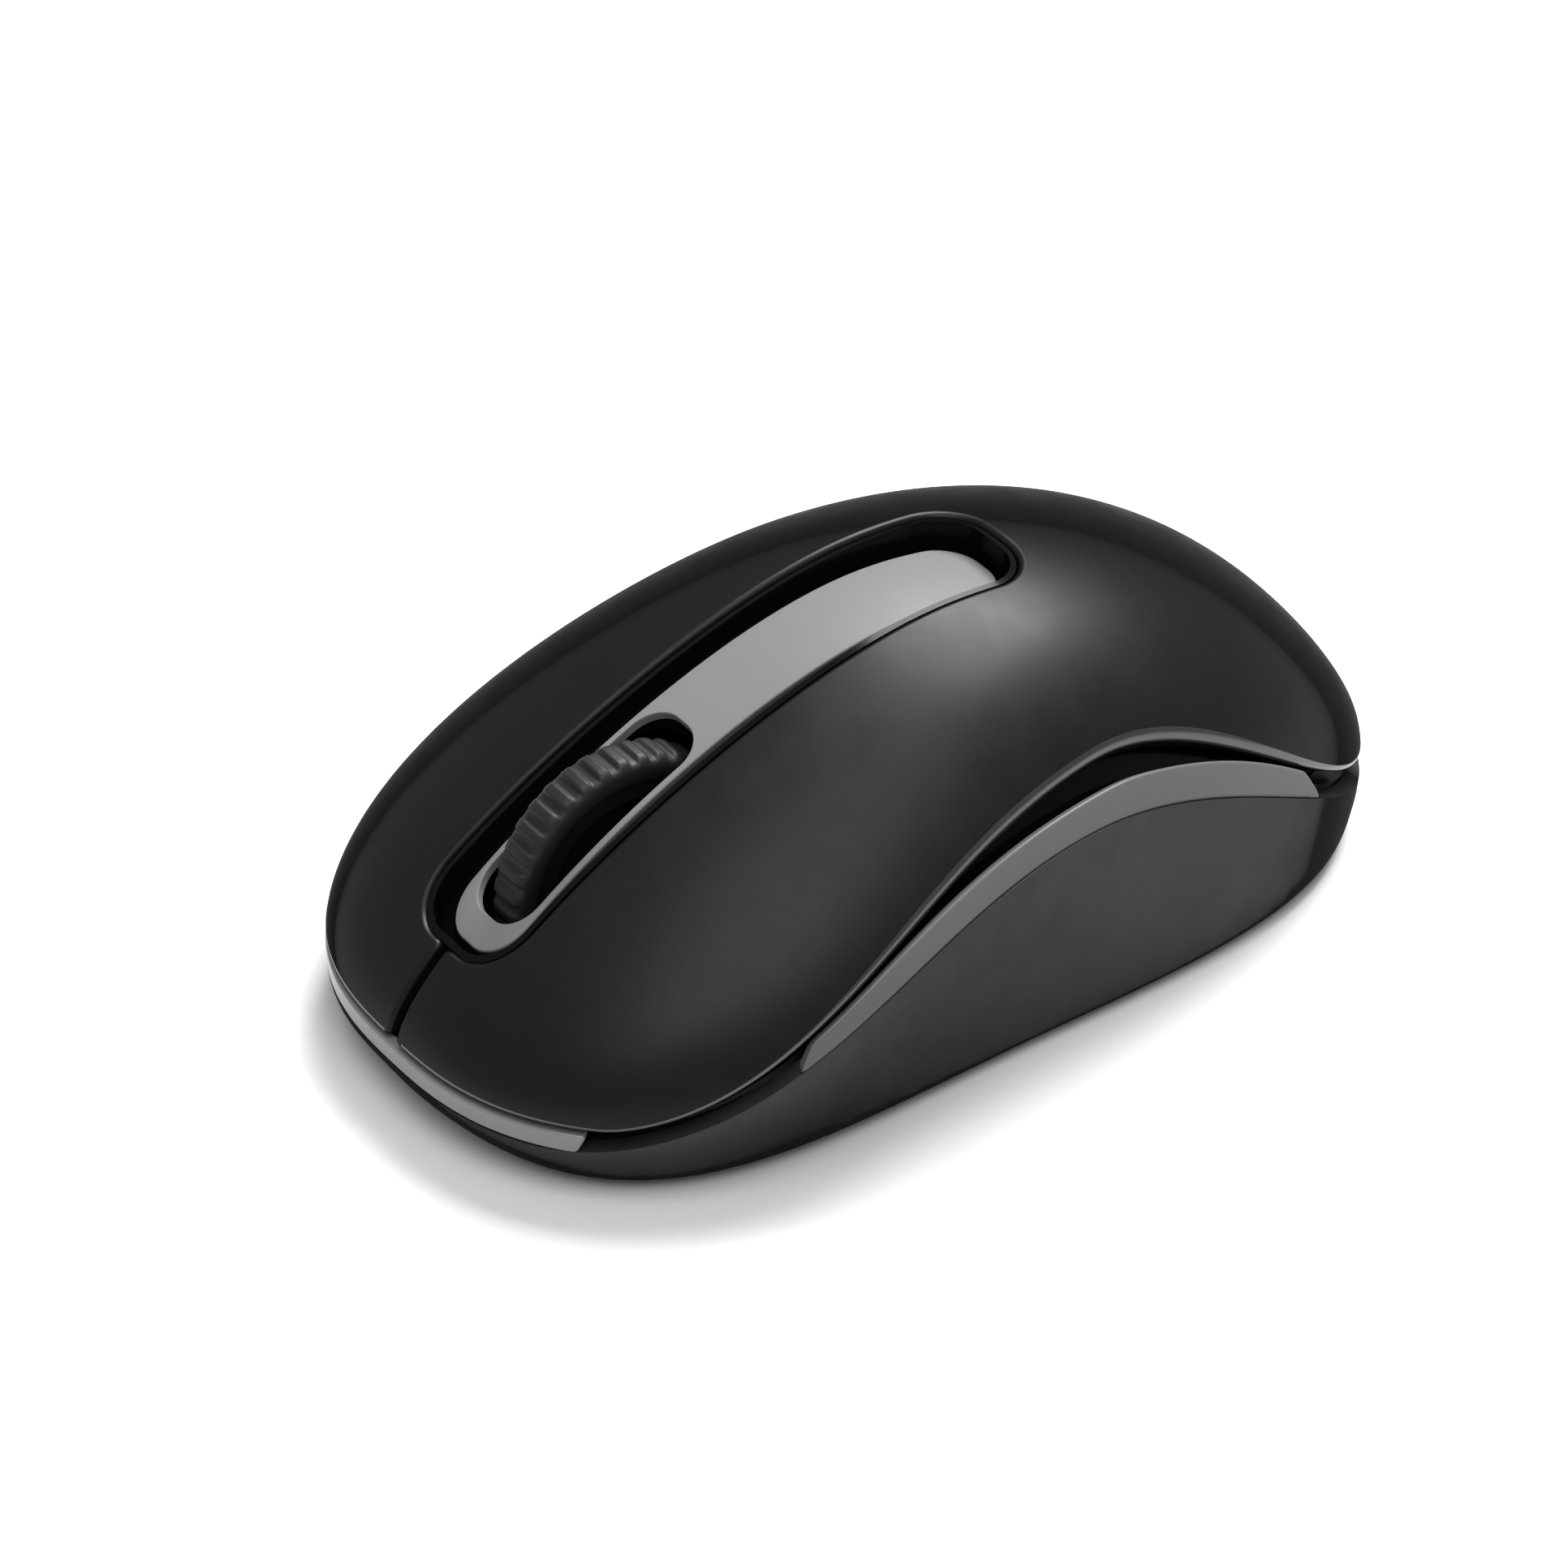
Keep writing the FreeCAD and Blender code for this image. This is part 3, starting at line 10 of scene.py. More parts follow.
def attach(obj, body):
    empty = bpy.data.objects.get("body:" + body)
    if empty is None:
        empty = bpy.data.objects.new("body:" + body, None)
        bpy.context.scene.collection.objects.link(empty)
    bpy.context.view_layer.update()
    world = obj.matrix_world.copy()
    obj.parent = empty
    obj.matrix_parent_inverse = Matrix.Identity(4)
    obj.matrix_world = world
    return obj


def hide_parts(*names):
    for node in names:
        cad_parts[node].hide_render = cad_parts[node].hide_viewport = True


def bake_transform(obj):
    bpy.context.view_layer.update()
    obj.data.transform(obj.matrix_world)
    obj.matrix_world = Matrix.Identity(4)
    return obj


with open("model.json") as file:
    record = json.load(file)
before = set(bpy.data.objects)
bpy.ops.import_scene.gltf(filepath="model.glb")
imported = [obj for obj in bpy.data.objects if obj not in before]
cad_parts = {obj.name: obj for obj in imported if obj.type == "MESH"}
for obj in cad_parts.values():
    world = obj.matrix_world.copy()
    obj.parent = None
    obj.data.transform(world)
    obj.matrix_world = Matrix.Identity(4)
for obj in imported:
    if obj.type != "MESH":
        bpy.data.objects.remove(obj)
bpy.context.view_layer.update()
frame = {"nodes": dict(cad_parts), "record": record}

# Compact wireless mouse. Shapes are worked out in millimetres in the CAD's own frame
# (-Y nose, +X the user's left, +Z up) and written to Blender in metres.

MM = 0.001
NODES = frame["nodes"]

# ---------------------------------------------------------------- the mouse's dome

HALF_LENGTH = 48.05
WIDTH_TERMS = (29.555, -4.126, -1.504, 2.508)
PLAN_POWERS = (2.605, 2.767)
CREST_TERMS = (27.296, 5.778, -0.835, 0.262)
CREST_POWERS = (1.701, 1.61)
CREST_SOFTENING = 0.14
POWER_ACROSS = 1.941
POWER_UP = 2.221
EQUATOR = 6.766          # height of the widest level
CENTRE = np.array([0.0, 0.0, EQUATOR])
TINY = 1e-6
HALVINGS = 44            # of an interval, when a point on the dome is searched for


def end_round(share, powers, softening=0.0):
    """One at the middle of a superellipse, falling to nought at its front and rear ends."""
    power = np.where(share < 0, powers[0], powers[1])
    start = softening ** power
    reach = (share ** 2 + softening ** 2) ** (power / 2) - start
    whole = (1 + softening ** 2) ** (power / 2) - start
    return np.maximum(0.0, 1 - reach / whole) ** (1 / power)


def cubic(terms, share):
    """A cubic in share, its terms in rising order."""
    return terms[0] + terms[1] * share + terms[2] * share ** 2 + terms[3] * share ** 3


def half_width(y, inset=0.0):
    """Half-width of the dome at its widest level."""
    middle = cubic(WIDTH_TERMS, y / HALF_LENGTH) - inset
    return middle * end_round(y / (HALF_LENGTH - inset), PLAN_POWERS)


def crest(y, inset=0.0):
    """Height of the dome's middle line above its widest level."""
    middle = cubic(CREST_TERMS, y / HALF_LENGTH) - inset
    return middle * end_round(y / (HALF_LENGTH - inset), CREST_POWERS, CREST_SOFTENING)


def dome_level(points, inset):
    """One on the dome, less inside it and more outside."""
    wide = np.maximum(half_width(points[:, 1], inset), TINY)
    high = np.maximum(crest(points[:, 1], inset), TINY)
    rise = np.maximum(points[:, 2] - EQUATOR, 0.0)
    return (np.abs(points[:, 0]) / wide) ** POWER_ACROSS + (rise / high) ** POWER_UP


def project(points, inset=0.0):
    """The points moved onto the dome along lines from the middle of its widest level."""
    ways = points - CENTRE
    ways = ways / np.linalg.norm(ways, axis=1, keepdims=True)
    near = np.zeros(len(points))
    far = np.full(len(points), 2.0 * HALF_LENGTH)
    for _ in range(HALVINGS):
        middle = (near + far) / 2
        outside = dome_level(CENTRE + ways * middle[:, None], inset) > 1
        far = np.where(outside, middle, far)
        near = np.where(outside, near, middle)
    return CENTRE + ways * near[:, None]


def dome_normal(points, inset=0.0):
    """Unit vectors that point out of the dome, from differences over a small step."""
    step = 0.02
    slopes = []
    for axis in np.eye(3) * step:
        slopes.append(dome_level(points + axis, inset) - dome_level(points - axis, inset))
    slopes = np.array(slopes).T
    return slopes / np.linalg.norm(slopes, axis=1, keepdims=True)


def side_x(y, z, inset=0.0):
    """Half-width of the dome at a height."""
    share = np.clip((z - EQUATOR) / np.maximum(crest(y, inset), TINY), 0.0, 1.0)
    return half_width(y, inset) * (1 - share ** POWER_UP) ** (1 / POWER_ACROSS)


def dome_z(x, y, inset=0.0):
    """Height of the dome over a point of the plan."""
    share = np.clip(np.abs(x) / np.maximum(half_width(y, inset), TINY), 0.0, 1.0)
    return EQUATOR + crest(y, inset) * (1 - share ** POWER_ACROSS) ** (1 / POWER_UP)


# ---------------------------------------------------------------- scalloped edges

LIP = {"low": 7.433, "rise": 17.483, "peak": 8.678, "spans": (49.386, 35.629),
       "powers": (1.357, 1.461)}
EDGE = {"low": 5.0, "rise": 15.783, "peak": 5.107, "spans": (48.899, 37.966),
        "powers": (1.433, 1.125)}
TRIM_GAP = {"low": 0.38, "rise": 1.5, "peak": 13.0, "spans": (33.0, 18.0), "powers": (2.0, 2.0)}


def scallop(y, shape):
    """A height along the side: low at nose and tail, with one hump between."""
    ahead = y < shape["peak"]
    span = np.where(ahead, shape["spans"][0], shape["spans"][1])
    power = np.where(ahead, shape["powers"][0], shape["powers"][1])
    share = np.clip(np.abs(y - shape["peak"]) / span, 0.0, 1.0)
    return shape["low"] + shape["rise"] * np.maximum(np.cos(share * math.pi / 2), 0.0) ** power


def ease(low, high, value):
    """A smooth step from nought at low to one at high."""
    turn = np.clip((value - low) / (high - low), 0.0, 1.0)
    return turn * turn * (3 - 2 * turn)


def trim_top(y):
    """Upper edge of a side trim, which leaves the widest gap under the lip at its middle."""
    return scallop(y, LIP) - scallop(y, TRIM_GAP)


TRAY_DIP = {"depth": 0.8, "middle": -16.0, "span": 21.0}


def tray_dip(y):
    """How much deeper the tray between the keys lies towards its two ends."""
    return TRAY_DIP["depth"] * ((y - TRAY_DIP["middle"]) / TRAY_DIP["span"]) ** 2


# ---------------------------------------------------------------- chains of points

def line_up(points, spacing, closed=False):
    """The points respaced evenly along their line; columns after the third go along."""
    if closed:
        points = np.vstack([points, points[:1]])
    steps = np.linalg.norm(np.diff(points[:, :3], axis=0), axis=1)
    keep = np.concatenate([[True], steps > TINY])
    points = points[keep]
    steps = np.linalg.norm(np.diff(points[:, :3], axis=0), axis=1)
    gone = np.concatenate([[0.0], np.cumsum(steps)])
    count = max(4, int(round(gone[-1] / spacing)))
    wanted = np.linspace(0, gone[-1], count + 1)
    columns = [np.interp(wanted, gone, points[:, c]) for c in range(points.shape[1])]
    made = np.array(columns).T
    return made[:-1] if closed else made


FINE = 0.08              # spacing of a line while its corners are rounded


def soften(points, reach, closed=False):
    """Round a line's corners off to about a radius of reach."""
    points = line_up(points, FINE, closed)
    wide = int(3 * reach / FINE)
    weights = np.exp(-0.5 * (np.arange(-wide, wide + 1) * FINE / reach) ** 2)
    weights /= weights.sum()
    if closed:
        longer = np.vstack([points[-wide:], points, points[:wide]])
    else:
        before = 2 * points[0] - points[1:wide + 1][::-1]
        after = 2 * points[-1] - points[-wide - 1:-1][::-1]
        longer = np.vstack([before, points, after])
    columns = [np.convolve(longer[:, c], weights, "valid") for c in range(points.shape[1])]
    return np.array(columns).T


def mirrored(points):
    """The same line on the other side, turned round so that its plate stays on its left."""
    other = points[::-1].copy()
    other[:, 0] *= -1
    return other


def with_roll(points, roll, polish=0.0):
    """Add two columns: the radius of the rolled edge, and one where it is polished."""
    count = len(points)
    return np.column_stack([points, np.broadcast_to(roll, count), np.broadcast_to(polish, count)])


# ---------------------------------------------------------------- meshes

def link(name, data):
    """A new object in the scene."""
    item = bpy.data.objects.new(name, data)
    bpy.context.scene.collection.objects.link(item)
    return item


class Mesh:
    """Vertices with normals, and faces, gathered before they become an object."""

    def __init__(self):
        self.points = []
        self.normals = []
        self.faces = []
        self.polished = []

    def add(self, points, normals=()):
        """Add vertices and give back their numbers."""
        first = len(self.points)
        self.points.extend(map(tuple, points))
        self.normals.extend(map(tuple, normals))
        return np.arange(first, first + len(points))

    def strip(self, first, second, closed=False):
        """Quads between two rows of vertices of the same length."""
        count = len(first)
        for i in range(count if closed else count - 1):
            j = (i + 1) % count
            self.faces.append((first[i], second[i], second[j], first[j]))

    def piece(self, name, material, polish=None):
        """The finished object, in metres, with a second finish on its polished faces.

        Vertices without normals of their own are left to ordinary smooth shading.
        """
        data = bpy.data.meshes.new(name)
        data.from_pydata([tuple(MM * c for c in p) for p in self.points], [],
                         [tuple(int(v) for v in f) for f in self.faces])
        data.update()
        data.shade_smooth()
        if self.normals:
            data.normals_split_custom_set_from_vertices(self.normals)
        data.materials.append(material)
        if polish:
            data.materials.append(polish)
            for number in self.polished:
                data.polygons[number].material_index = 1
        return link(name, data)


CHART = np.array([29.6, 48.0, 27.4])      # half-axes of the ellipsoid that charts the dome
CHART_SCALE = 38.0                        # millimetres for one unit of the chart, about
EDGE_ROOM = 0.6                           # of a spacing, kept free of grid points at an edge
GRID_BATCH = 2000


def to_chart(points):
    """Flat coordinates of points on the dome, for joining them up into triangles."""
    round_points = (points - CENTRE) / CHART
    flat = np.hypot(round_points[:, 0], round_points[:, 1])
    angle = np.arctan2(flat, round_points[:, 2])
    return round_points[:, :2] * (angle / np.maximum(flat, TINY))[:, None]


def from_chart(flat, inset):
    """The points of the dome at flat coordinates."""
    angle = np.maximum(np.hypot(flat[:, 0], flat[:, 1]), TINY)
    ways = flat * (np.sin(angle) / angle)[:, None]
    round_points = np.column_stack([ways, np.cos(angle)])
    return project(round_points * CHART + CENTRE, inset)


def inside(flat, loops):
    """Which points lie within the loops, holes left out."""
    passed = np.zeros(len(flat), int)
    for loop in loops:
        ends = np.roll(loop, -1, axis=0)
        for (x0, y0), (x1, y1) in zip(loop, ends):
            if y0 == y1:
                continue
            spans = (flat[:, 1] >= min(y0, y1)) & (flat[:, 1] < max(y0, y1))
            meets = x0 + (flat[:, 1] - y0) * (x1 - x0) / (y1 - y0)
            passed += spans & (flat[:, 0] < meets)
    return passed % 2 == 1


def hex_grid(low, high, spacing):
    """Points in rows, every second row moved on by half a spacing."""
    rows = np.arange(low[1], high[1], spacing * math.sqrt(3) / 2)
    points = []
    for number, y in enumerate(rows):
        x = np.arange(low[0] + spacing / 2 * (number % 2), high[0], spacing)
        points.append(np.column_stack([x, np.full(len(x), y)]))
    return np.vstack(points)


def fill(loops, spacing):
    """Triangles over the area within flat loops: (all points, triangles), loops first."""
    edge_points = np.vstack(loops)
    grid = hex_grid(edge_points.min(0), edge_points.max(0), spacing)
    grid = grid[inside(grid, loops)]
    keep = []
    for start in range(0, len(grid), GRID_BATCH):
        part = grid[start:start + GRID_BATCH]
        gaps = np.linalg.norm(part[:, None, :] - edge_points[None, :, :], axis=2).min(axis=1)
        keep.append(part[gaps > EDGE_ROOM * spacing])
    points = np.vstack([edge_points] + keep)
    edges = []
    first = 0
    for loop in loops:
        count = len(loop)
        edges += [(first + i, first + (i + 1) % count) for i in range(count)]
        first += count
    corners = [Vector((float(x), float(y))) for x, y in points]
    _, _, faces, origins, _, _ = delaunay_2d_cdt(corners, edges, [], 0, 1e-9)
    number = [origin[0] for origin in origins]
    triangles = np.array([[number[v] for v in face] for face in faces])
    middles = points[triangles].mean(axis=1)
    return points, triangles[inside(middles, loops)]


CROSSING_REACH = 24      # steps along an edge within which it is searched for crossings
NEARLY_PARALLEL = 1e-15
ROLL_TRIES = 30
ROLL_SHRINK = 0.8
ARC_STEPS = 5            # quads across a rolled edge
COVER_SPACING = 0.45     # of the vertices along the cover's edges
PIECE_SPACING = 0.35     # of the vertices along the other pieces' edges


def crossings(flat):
    """Pairs of steps, near each other along a line, that cross."""
    steps = np.diff(flat, axis=0)
    found = []
    for apart in range(2, min(CROSSING_REACH, len(steps))):
        first, second = steps[:-apart], steps[apart:]
        between = flat[apart:-1] - flat[:-1 - apart]
        turn = first[:, 0] * second[:, 1] - first[:, 1] * second[:, 0]
        turn = np.where(np.abs(turn) < NEARLY_PARALLEL, NEARLY_PARALLEL, turn)
        one = (between[:, 0] * second[:, 1] - between[:, 1] * second[:, 0]) / turn
        two = (between[:, 0] * first[:, 1] - between[:, 1] * first[:, 0]) / turn
        for i in np.nonzero((one > 0) & (one < 1) & (two > 0) & (two < 1))[0]:
            found.append((i, i + apart))
    return found


def fitting_roll(line, out, roll, inset):
    """The rolled edge's radius, less where a tight corner leaves no room for it."""
    roll = roll.copy()
    count = len(line)
    for _ in range(ROLL_TRIES):
        flat = to_chart(project(line - out * roll, inset))
        found = crossings(np.vstack([flat, flat[:CROSSING_REACH]]))
        if not found:
            break
        for i, j in found:
            near = np.arange(i - 2, j + 4) % count
            roll[near] *= ROLL_SHRINK
    return roll


def rolled_part(chain, closed, inset):
    """Where a rolled edge starts on the plate, its radius and its directions."""
    line = project(chain[:, :3], inset)
    normal = dome_normal(line, inset)
    if closed:
        along = np.roll(line, -1, axis=0) - np.roll(line, 1, axis=0)
    else:
        along = np.gradient(line, axis=0)
    out = np.cross(along, normal)
    out /= np.linalg.norm(out, axis=1, keepdims=True)
    roll = fitting_roll(line, out, chain[:, 3:4], inset)
    start = project(line - out * roll, inset)
    top = dome_normal(start, inset)
    return {"points": start, "cut": False, "out": out, "top": top, "roll": roll,
            "closed": closed, "polish": np.nonzero(chain[:, 4] > 0.5)[0]}


def edge_parts(loop, inset):
    """The parts of the line round a plate: rolled edges, and cut faces between them."""
    parts = []
    for chain, closed in loop:
        if chain.shape[1] == 3:
            parts.append({"points": project(chain, inset)[1:-1], "cut": True})
        else:
            parts.append(rolled_part(chain, closed, inset))
    return parts


def roll_over(made, part, upper, lower, thickness, under):
    """Roll a plate's edge over from its upper vertices to its lower ones."""
    start, top, out, roll = part["points"], part["top"], part["out"], part["roll"]
    out = out - top * (out * top).sum(axis=1, keepdims=True)
    out /= np.linalg.norm(out, axis=1, keepdims=True)
    arc = np.linspace(0, math.pi / 2, ARC_STEPS + 1)
    rows = [upper]
    for turn in arc[1:]:
        spot = start + out * roll * math.sin(turn) - top * roll * (1 - math.cos(turn))
        rows.append(made.add(spot, out * math.sin(turn) + top * math.cos(turn)))
    small = np.minimum(np.minimum(under, thickness - roll), roll)
    for turn in arc:
        reach = roll - small * (1 - math.cos(turn))
        drop = thickness - small * (1 - math.sin(turn))
        spot = start + out * reach - top * drop
        rows.append(made.add(spot, out * math.cos(turn) - top * math.sin(turn)))
    rows.append(lower)
    count = len(start) if part["closed"] else len(start) - 1
    shining = part["polish"][part["polish"] < count]
    for number, (row, following) in enumerate(zip(rows, rows[1:])):
        if number <= ARC_STEPS:
            made.polished += [len(made.faces) + int(i) for i in shining]
        made.strip(row, following, part["closed"])
    if not part["closed"]:
        made.faces.append(tuple(row[-1] for row in rows))
        made.faces.append(tuple(row[0] for row in rows[::-1]))


def skin(chains, inset, thickness, spacing=0.9, under=0.25, holes=()):
    """A curved plate that follows the dome, with its edges rolled over.

    chains is a closed line, or a list of open lines that together go round the plate, with
    the plate on their left. A line's columns are x, y, z, roll and polish; an open line of
    bare points is a plain cut face, where the plate meets another. holes are closed lines
    that go round the other way. under is the radius of the lower edge.
    """
    made = Mesh()
    if isinstance(chains, list):
        loops = [[(chain, False) for chain in chains]]
    else:
        loops = [[(chains, True)]]
    loops += [[(hole, True)] for hole in holes]
    rings = [edge_parts(loop, inset) for loop in loops]
    edges = [np.vstack([part["points"] for part in ring]) for ring in rings]
    flat, triangles = fill([to_chart(points) for points in edges], spacing / CHART_SCALE)
    edge_count = sum(len(points) for points in edges)
    surface = np.vstack(edges + [from_chart(flat[edge_count:], inset)])
    normal = dome_normal(surface, inset)
    upper = made.add(surface, normal)
    lower = made.add(surface - normal * thickness, -normal)
    made.faces += [tuple(upper[t]) for t in triangles]
    made.faces += [tuple(lower[t][::-1]) for t in triangles]
    first = 0
    for ring in rings:
        spots = []
        for part in ring:
            count = len(part["points"])
            spots.append(np.arange(first, first + count))
            first += count
        for place, part in enumerate(ring):
            here = spots[place]
            if part["cut"]:
                before = spots[place - 1][-1:]
                after = spots[(place + 1) % len(ring)][:1]
                run = np.concatenate([before, here, after])
                made.strip(upper[run], lower[run])
            else:
                roll_over(made, part, upper[here], lower[here], thickness, under)
    return made


# ---------------------------------------------------------------- outlines on the dome

SEAM = 8.0               # y of the line where the keys flex and meet the palm
SLOT = {"front": -42.4, "rear": 14.5, "half": 6.25, "corner": 4.6}
COVER_WALL = 1.9
SLOT_ROLL = 0.55
SPLIT_ROLL = SLOT_ROLL - 0.1
SPLIT_HALF = 0.4         # half the gap between the keys at the slot
SPLIT_SPREAD = 0.1       # what it gains by the nose
LIP_ROLL = {"thin": 0.45, "more": 0.75, "front": (-34.0, -2.0), "rear": (16.0, 40.0)}
FAR = 99.0               # beyond either end of the mouse
APART = 0.05             # kept between the ends of two lines that are joined
LIP_HALVINGS = 50


def sweep(low, high, count=400):
    """Places along the mouse, closer together towards nose and tail."""
    ends = np.arcsin(np.clip(np.array([low, high]) / HALF_LENGTH, -1, 1))
    return HALF_LENGTH * np.sin(np.linspace(ends[0], ends[1], count))


def reach_of_lip(rear):
    """Where the cover's lower lip crosses the middle line, at the nose or the tail."""
    near, far = 0.0, HALF_LENGTH if rear else -HALF_LENGTH
    for _ in range(LIP_HALVINGS):
        middle = (near + far) / 2
        if crest(np.array([middle]))[0] > LIP["low"] - EQUATOR:
            near = middle
        else:
            far = middle
    return near


def lip_roll(y):
    """The lip's radius: widest over the thumb's place, thin at nose and tail."""
    middle = ease(*LIP_ROLL["front"], y) * (1 - ease(*LIP_ROLL["rear"], y))
    return LIP_ROLL["thin"] + LIP_ROLL["more"] * middle


def lip_line(low, high):
    """The cover's lower lip on the left side, polished."""
    y = sweep(low, high)
    z = scallop(y, LIP)
    return with_roll(np.column_stack([side_x(y, z), y, z]), lip_roll(y), 1.0)


def strip_side(shape, low, high, inset=0.0):
    """The left side of a strip with round corners, from rear to front, cut at low and high."""
    corner = shape["corner"]
    flat = shape["half"] - corner
    turns = np.linspace(0, math.pi / 2, 60)
    rear_arc = np.column_stack([flat + corner * np.sin(turns),
                                shape["rear"] - corner + corner * np.cos(turns)])
    front_arc = np.column_stack([flat + corner * np.cos(turns),
                                 shape["front"] + corner - corner * np.sin(turns)])
    plan = np.vstack([[(0.0, shape["rear"])], rear_arc, front_arc, [(0.0, shape["front"])]])
    plan = line_up(np.column_stack([plan, np.zeros(len(plan))]), 0.1)[:, :2]
    plan = plan[(plan[:, 1] <= high) & (plan[:, 1] >= low)]
    z = dome_z(plan[:, 0], plan[:, 1], inset)
    return np.column_stack([plan, z])


def strip_loop(shape, inset, roll):
    """A closed line round a strip with round corners, the strip on its right."""
    left = strip_side(shape, -FAR, FAR, inset)
    loop = np.vstack([left, mirrored(left)[1:-1]])
    return line_up(with_roll(loop, roll), PIECE_SPACING, closed=True)


def parting_line(slot_front, bottom):
    """The left key's edge down the nose, beside the gap between the keys."""
    y = sweep(slot_front, bottom, 200)
    fall = (y - slot_front) / (bottom - slot_front)
    x = SPLIT_HALF + SPLIT_SPREAD * np.clip(fall, 0, 1) ** 2
    return np.column_stack([x, y, dome_z(x, y)])


def slot_corner():
    """Where the slot's left side meets the seam."""
    z = dome_z(np.array([SLOT["half"]]), np.array([SEAM]))[0]
    return SLOT["half"], SEAM, z


def ends_on_seam(line):
    """The line with both its ends exactly at the seam."""
    line[0, 1] = SEAM
    line[-1, 1] = SEAM
    return line


def key_chains():
    """The left key: slot side, nose and lip in one rolled chain, then the cut face."""
    nose = reach_of_lip(False)
    slot = strip_side(SLOT, -FAR, SEAM)
    slot = slot[slot[:, 0] > SPLIT_HALF]
    gap = parting_line(slot[-1, 1] - APART, nose)
    lip = lip_line(nose, SEAM)
    lip = lip[lip[:, 0] > gap[-1, 0] + APART]
    slot[0, :] = slot_corner()
    chain = np.vstack([with_roll(slot, SLOT_ROLL), with_roll(gap, SPLIT_ROLL), lip])
    chain = line_up(soften(chain, 0.4), COVER_SPACING)
    return [ends_on_seam(chain), seam_line()[::-1]]


def seam_line():
    """Where key and palm meet, from slot to lip on the left side, with room for the rolls."""
    here = np.array([SEAM])
    x = np.linspace(SLOT["half"], side_x(here, scallop(here, LIP))[0], 60)
    y = np.full(len(x), SEAM)
    line = line_up(np.column_stack([x, y, dome_z(x, y)]), 0.8)
    inner = line[line[:, 0] > SLOT["half"] + SLOT_ROLL + 0.3]
    return np.vstack([line[:1], inner[:-2], line[-1:]])


def palm_chains():
    """The palm: its lip right round the tail, and the slot's rear, joined by cut faces."""
    tail = reach_of_lip(True)
    lip = lip_line(SEAM, tail)
    lip = np.vstack([lip, mirrored(lip)[1:]])
    lip = line_up(soften(lip, 0.45), COVER_SPACING)
    slot = strip_side(SLOT, SEAM, FAR)
    slot[-1, :] = slot_corner()
    slot = np.vstack([mirrored(slot), slot[1:]])
    slot = line_up(soften(with_roll(slot, SLOT_ROLL), 0.3), 0.4)
    seam = seam_line()
    return [ends_on_seam(lip), mirrored(seam), ends_on_seam(slot), seam]


# ---------------------------------------------------------------- materials

FINISH = {}                  # every material by its name
NOISE_RANGE = (0.3, 0.7)     # where most of the noise's values lie
GLOSS_FADE = (0.3, 0.62)     # from and to, nought face on and one edge on
DRIFT_GRAINS = 35.0          # of slow colour drift, in a metre
UNEVEN_GRAINS = 260.0        # of uneven roughness, in a metre
CLOUD_GRAINS = 400.0         # of clouding in clear plastic, in a metre


def shader(name):
    """A new material's principled shader and node tree."""
    made = bpy.data.materials.new(name)
    made.use_nodes = True
    tree = made.node_tree
    FINISH[name] = made
    return tree.nodes["Principled BSDF"], tree


def spread(tree, value, span, low, high):
    """A value's span stretched over low to high."""
    made = tree.nodes.new("ShaderNodeMapRange")
    made.inputs["From Min"].default_value = span[0]
    made.inputs["From Max"].default_value = span[1]
    made.inputs["To Min"].default_value = low
    made.inputs["To Max"].default_value = high
    tree.links.new(value, made.inputs["Value"])
    return made.outputs["Result"]


def noise(tree, scale, detail=2.0):
    """Noise with about scale grains in a metre."""
    where = tree.nodes.new("ShaderNodeTexCoord")
    made = tree.nodes.new("ShaderNodeTexNoise")
    made.inputs["Scale"].default_value = scale
    made.inputs["Detail"].default_value = detail
    tree.links.new(where.outputs["Object"], made.inputs["Vector"])
    return made.outputs["Fac"]


def tint(tree, amount, dark, light):
    """A colour between dark and light."""
    mix = tree.nodes.new("ShaderNodeMix")
    mix.data_type = "RGBA"
    mix.inputs["A"].default_value = (*dark, 1)
    mix.inputs["B"].default_value = (*light, 1)
    tree.links.new(amount, mix.inputs["Factor"])
    return mix.outputs["Result"]


def soften_grazing(tree, base, specular, grazing):
    """Let the gloss fade from its full level, face on, to a lower one at grazing angles."""
    weight = tree.nodes.new("ShaderNodeLayerWeight")
    fade = spread(tree, weight.outputs["Facing"], GLOSS_FADE, specular, grazing)
    tree.links.new(fade, base.inputs["Specular IOR Level"])


def moulded(name, dark, light, rough, grain_size=0.35, depth=0.006, metal=0.0, specular=0.5,
            grazing=None):
    """A moulded plastic, rubber or metal: slow colour drift and a fine grain.

    rough is the lowest and highest roughness, grain_size and depth are in millimetres.
    """
    base, tree = shader(name)
    drift = spread(tree, noise(tree, DRIFT_GRAINS), NOISE_RANGE, 0.0, 1.0)
    tree.links.new(tint(tree, drift, dark, light), base.inputs["Base Color"])
    uneven = spread(tree, noise(tree, UNEVEN_GRAINS), NOISE_RANGE, *rough)
    tree.links.new(uneven, base.inputs["Roughness"])
    bump = tree.nodes.new("ShaderNodeBump")
    bump.inputs["Strength"].default_value = 1.0
    bump.inputs["Distance"].default_value = depth * MM
    tree.links.new(noise(tree, 1000.0 / grain_size, 1.0), bump.inputs["Height"])
    tree.links.new(bump.outputs["Normal"], base.inputs["Normal"])
    base.inputs["Metallic"].default_value = metal
    base.inputs["Specular IOR Level"].default_value = specular
    if grazing is not None:
        soften_grazing(tree, base, specular, grazing)


def clear(name, colour):
    """A clear plastic, slightly clouded."""
    base, tree = shader(name)
    cloud = spread(tree, noise(tree, CLOUD_GRAINS), NOISE_RANGE, 0.03, 0.1)
    tree.links.new(cloud, base.inputs["Roughness"])
    base.inputs["Base Color"].default_value = (*colour, 1)
    base.inputs["Transmission Weight"].default_value = 1.0


def grey(value):
    """A grey as red, green and blue."""
    return (value, value, value)


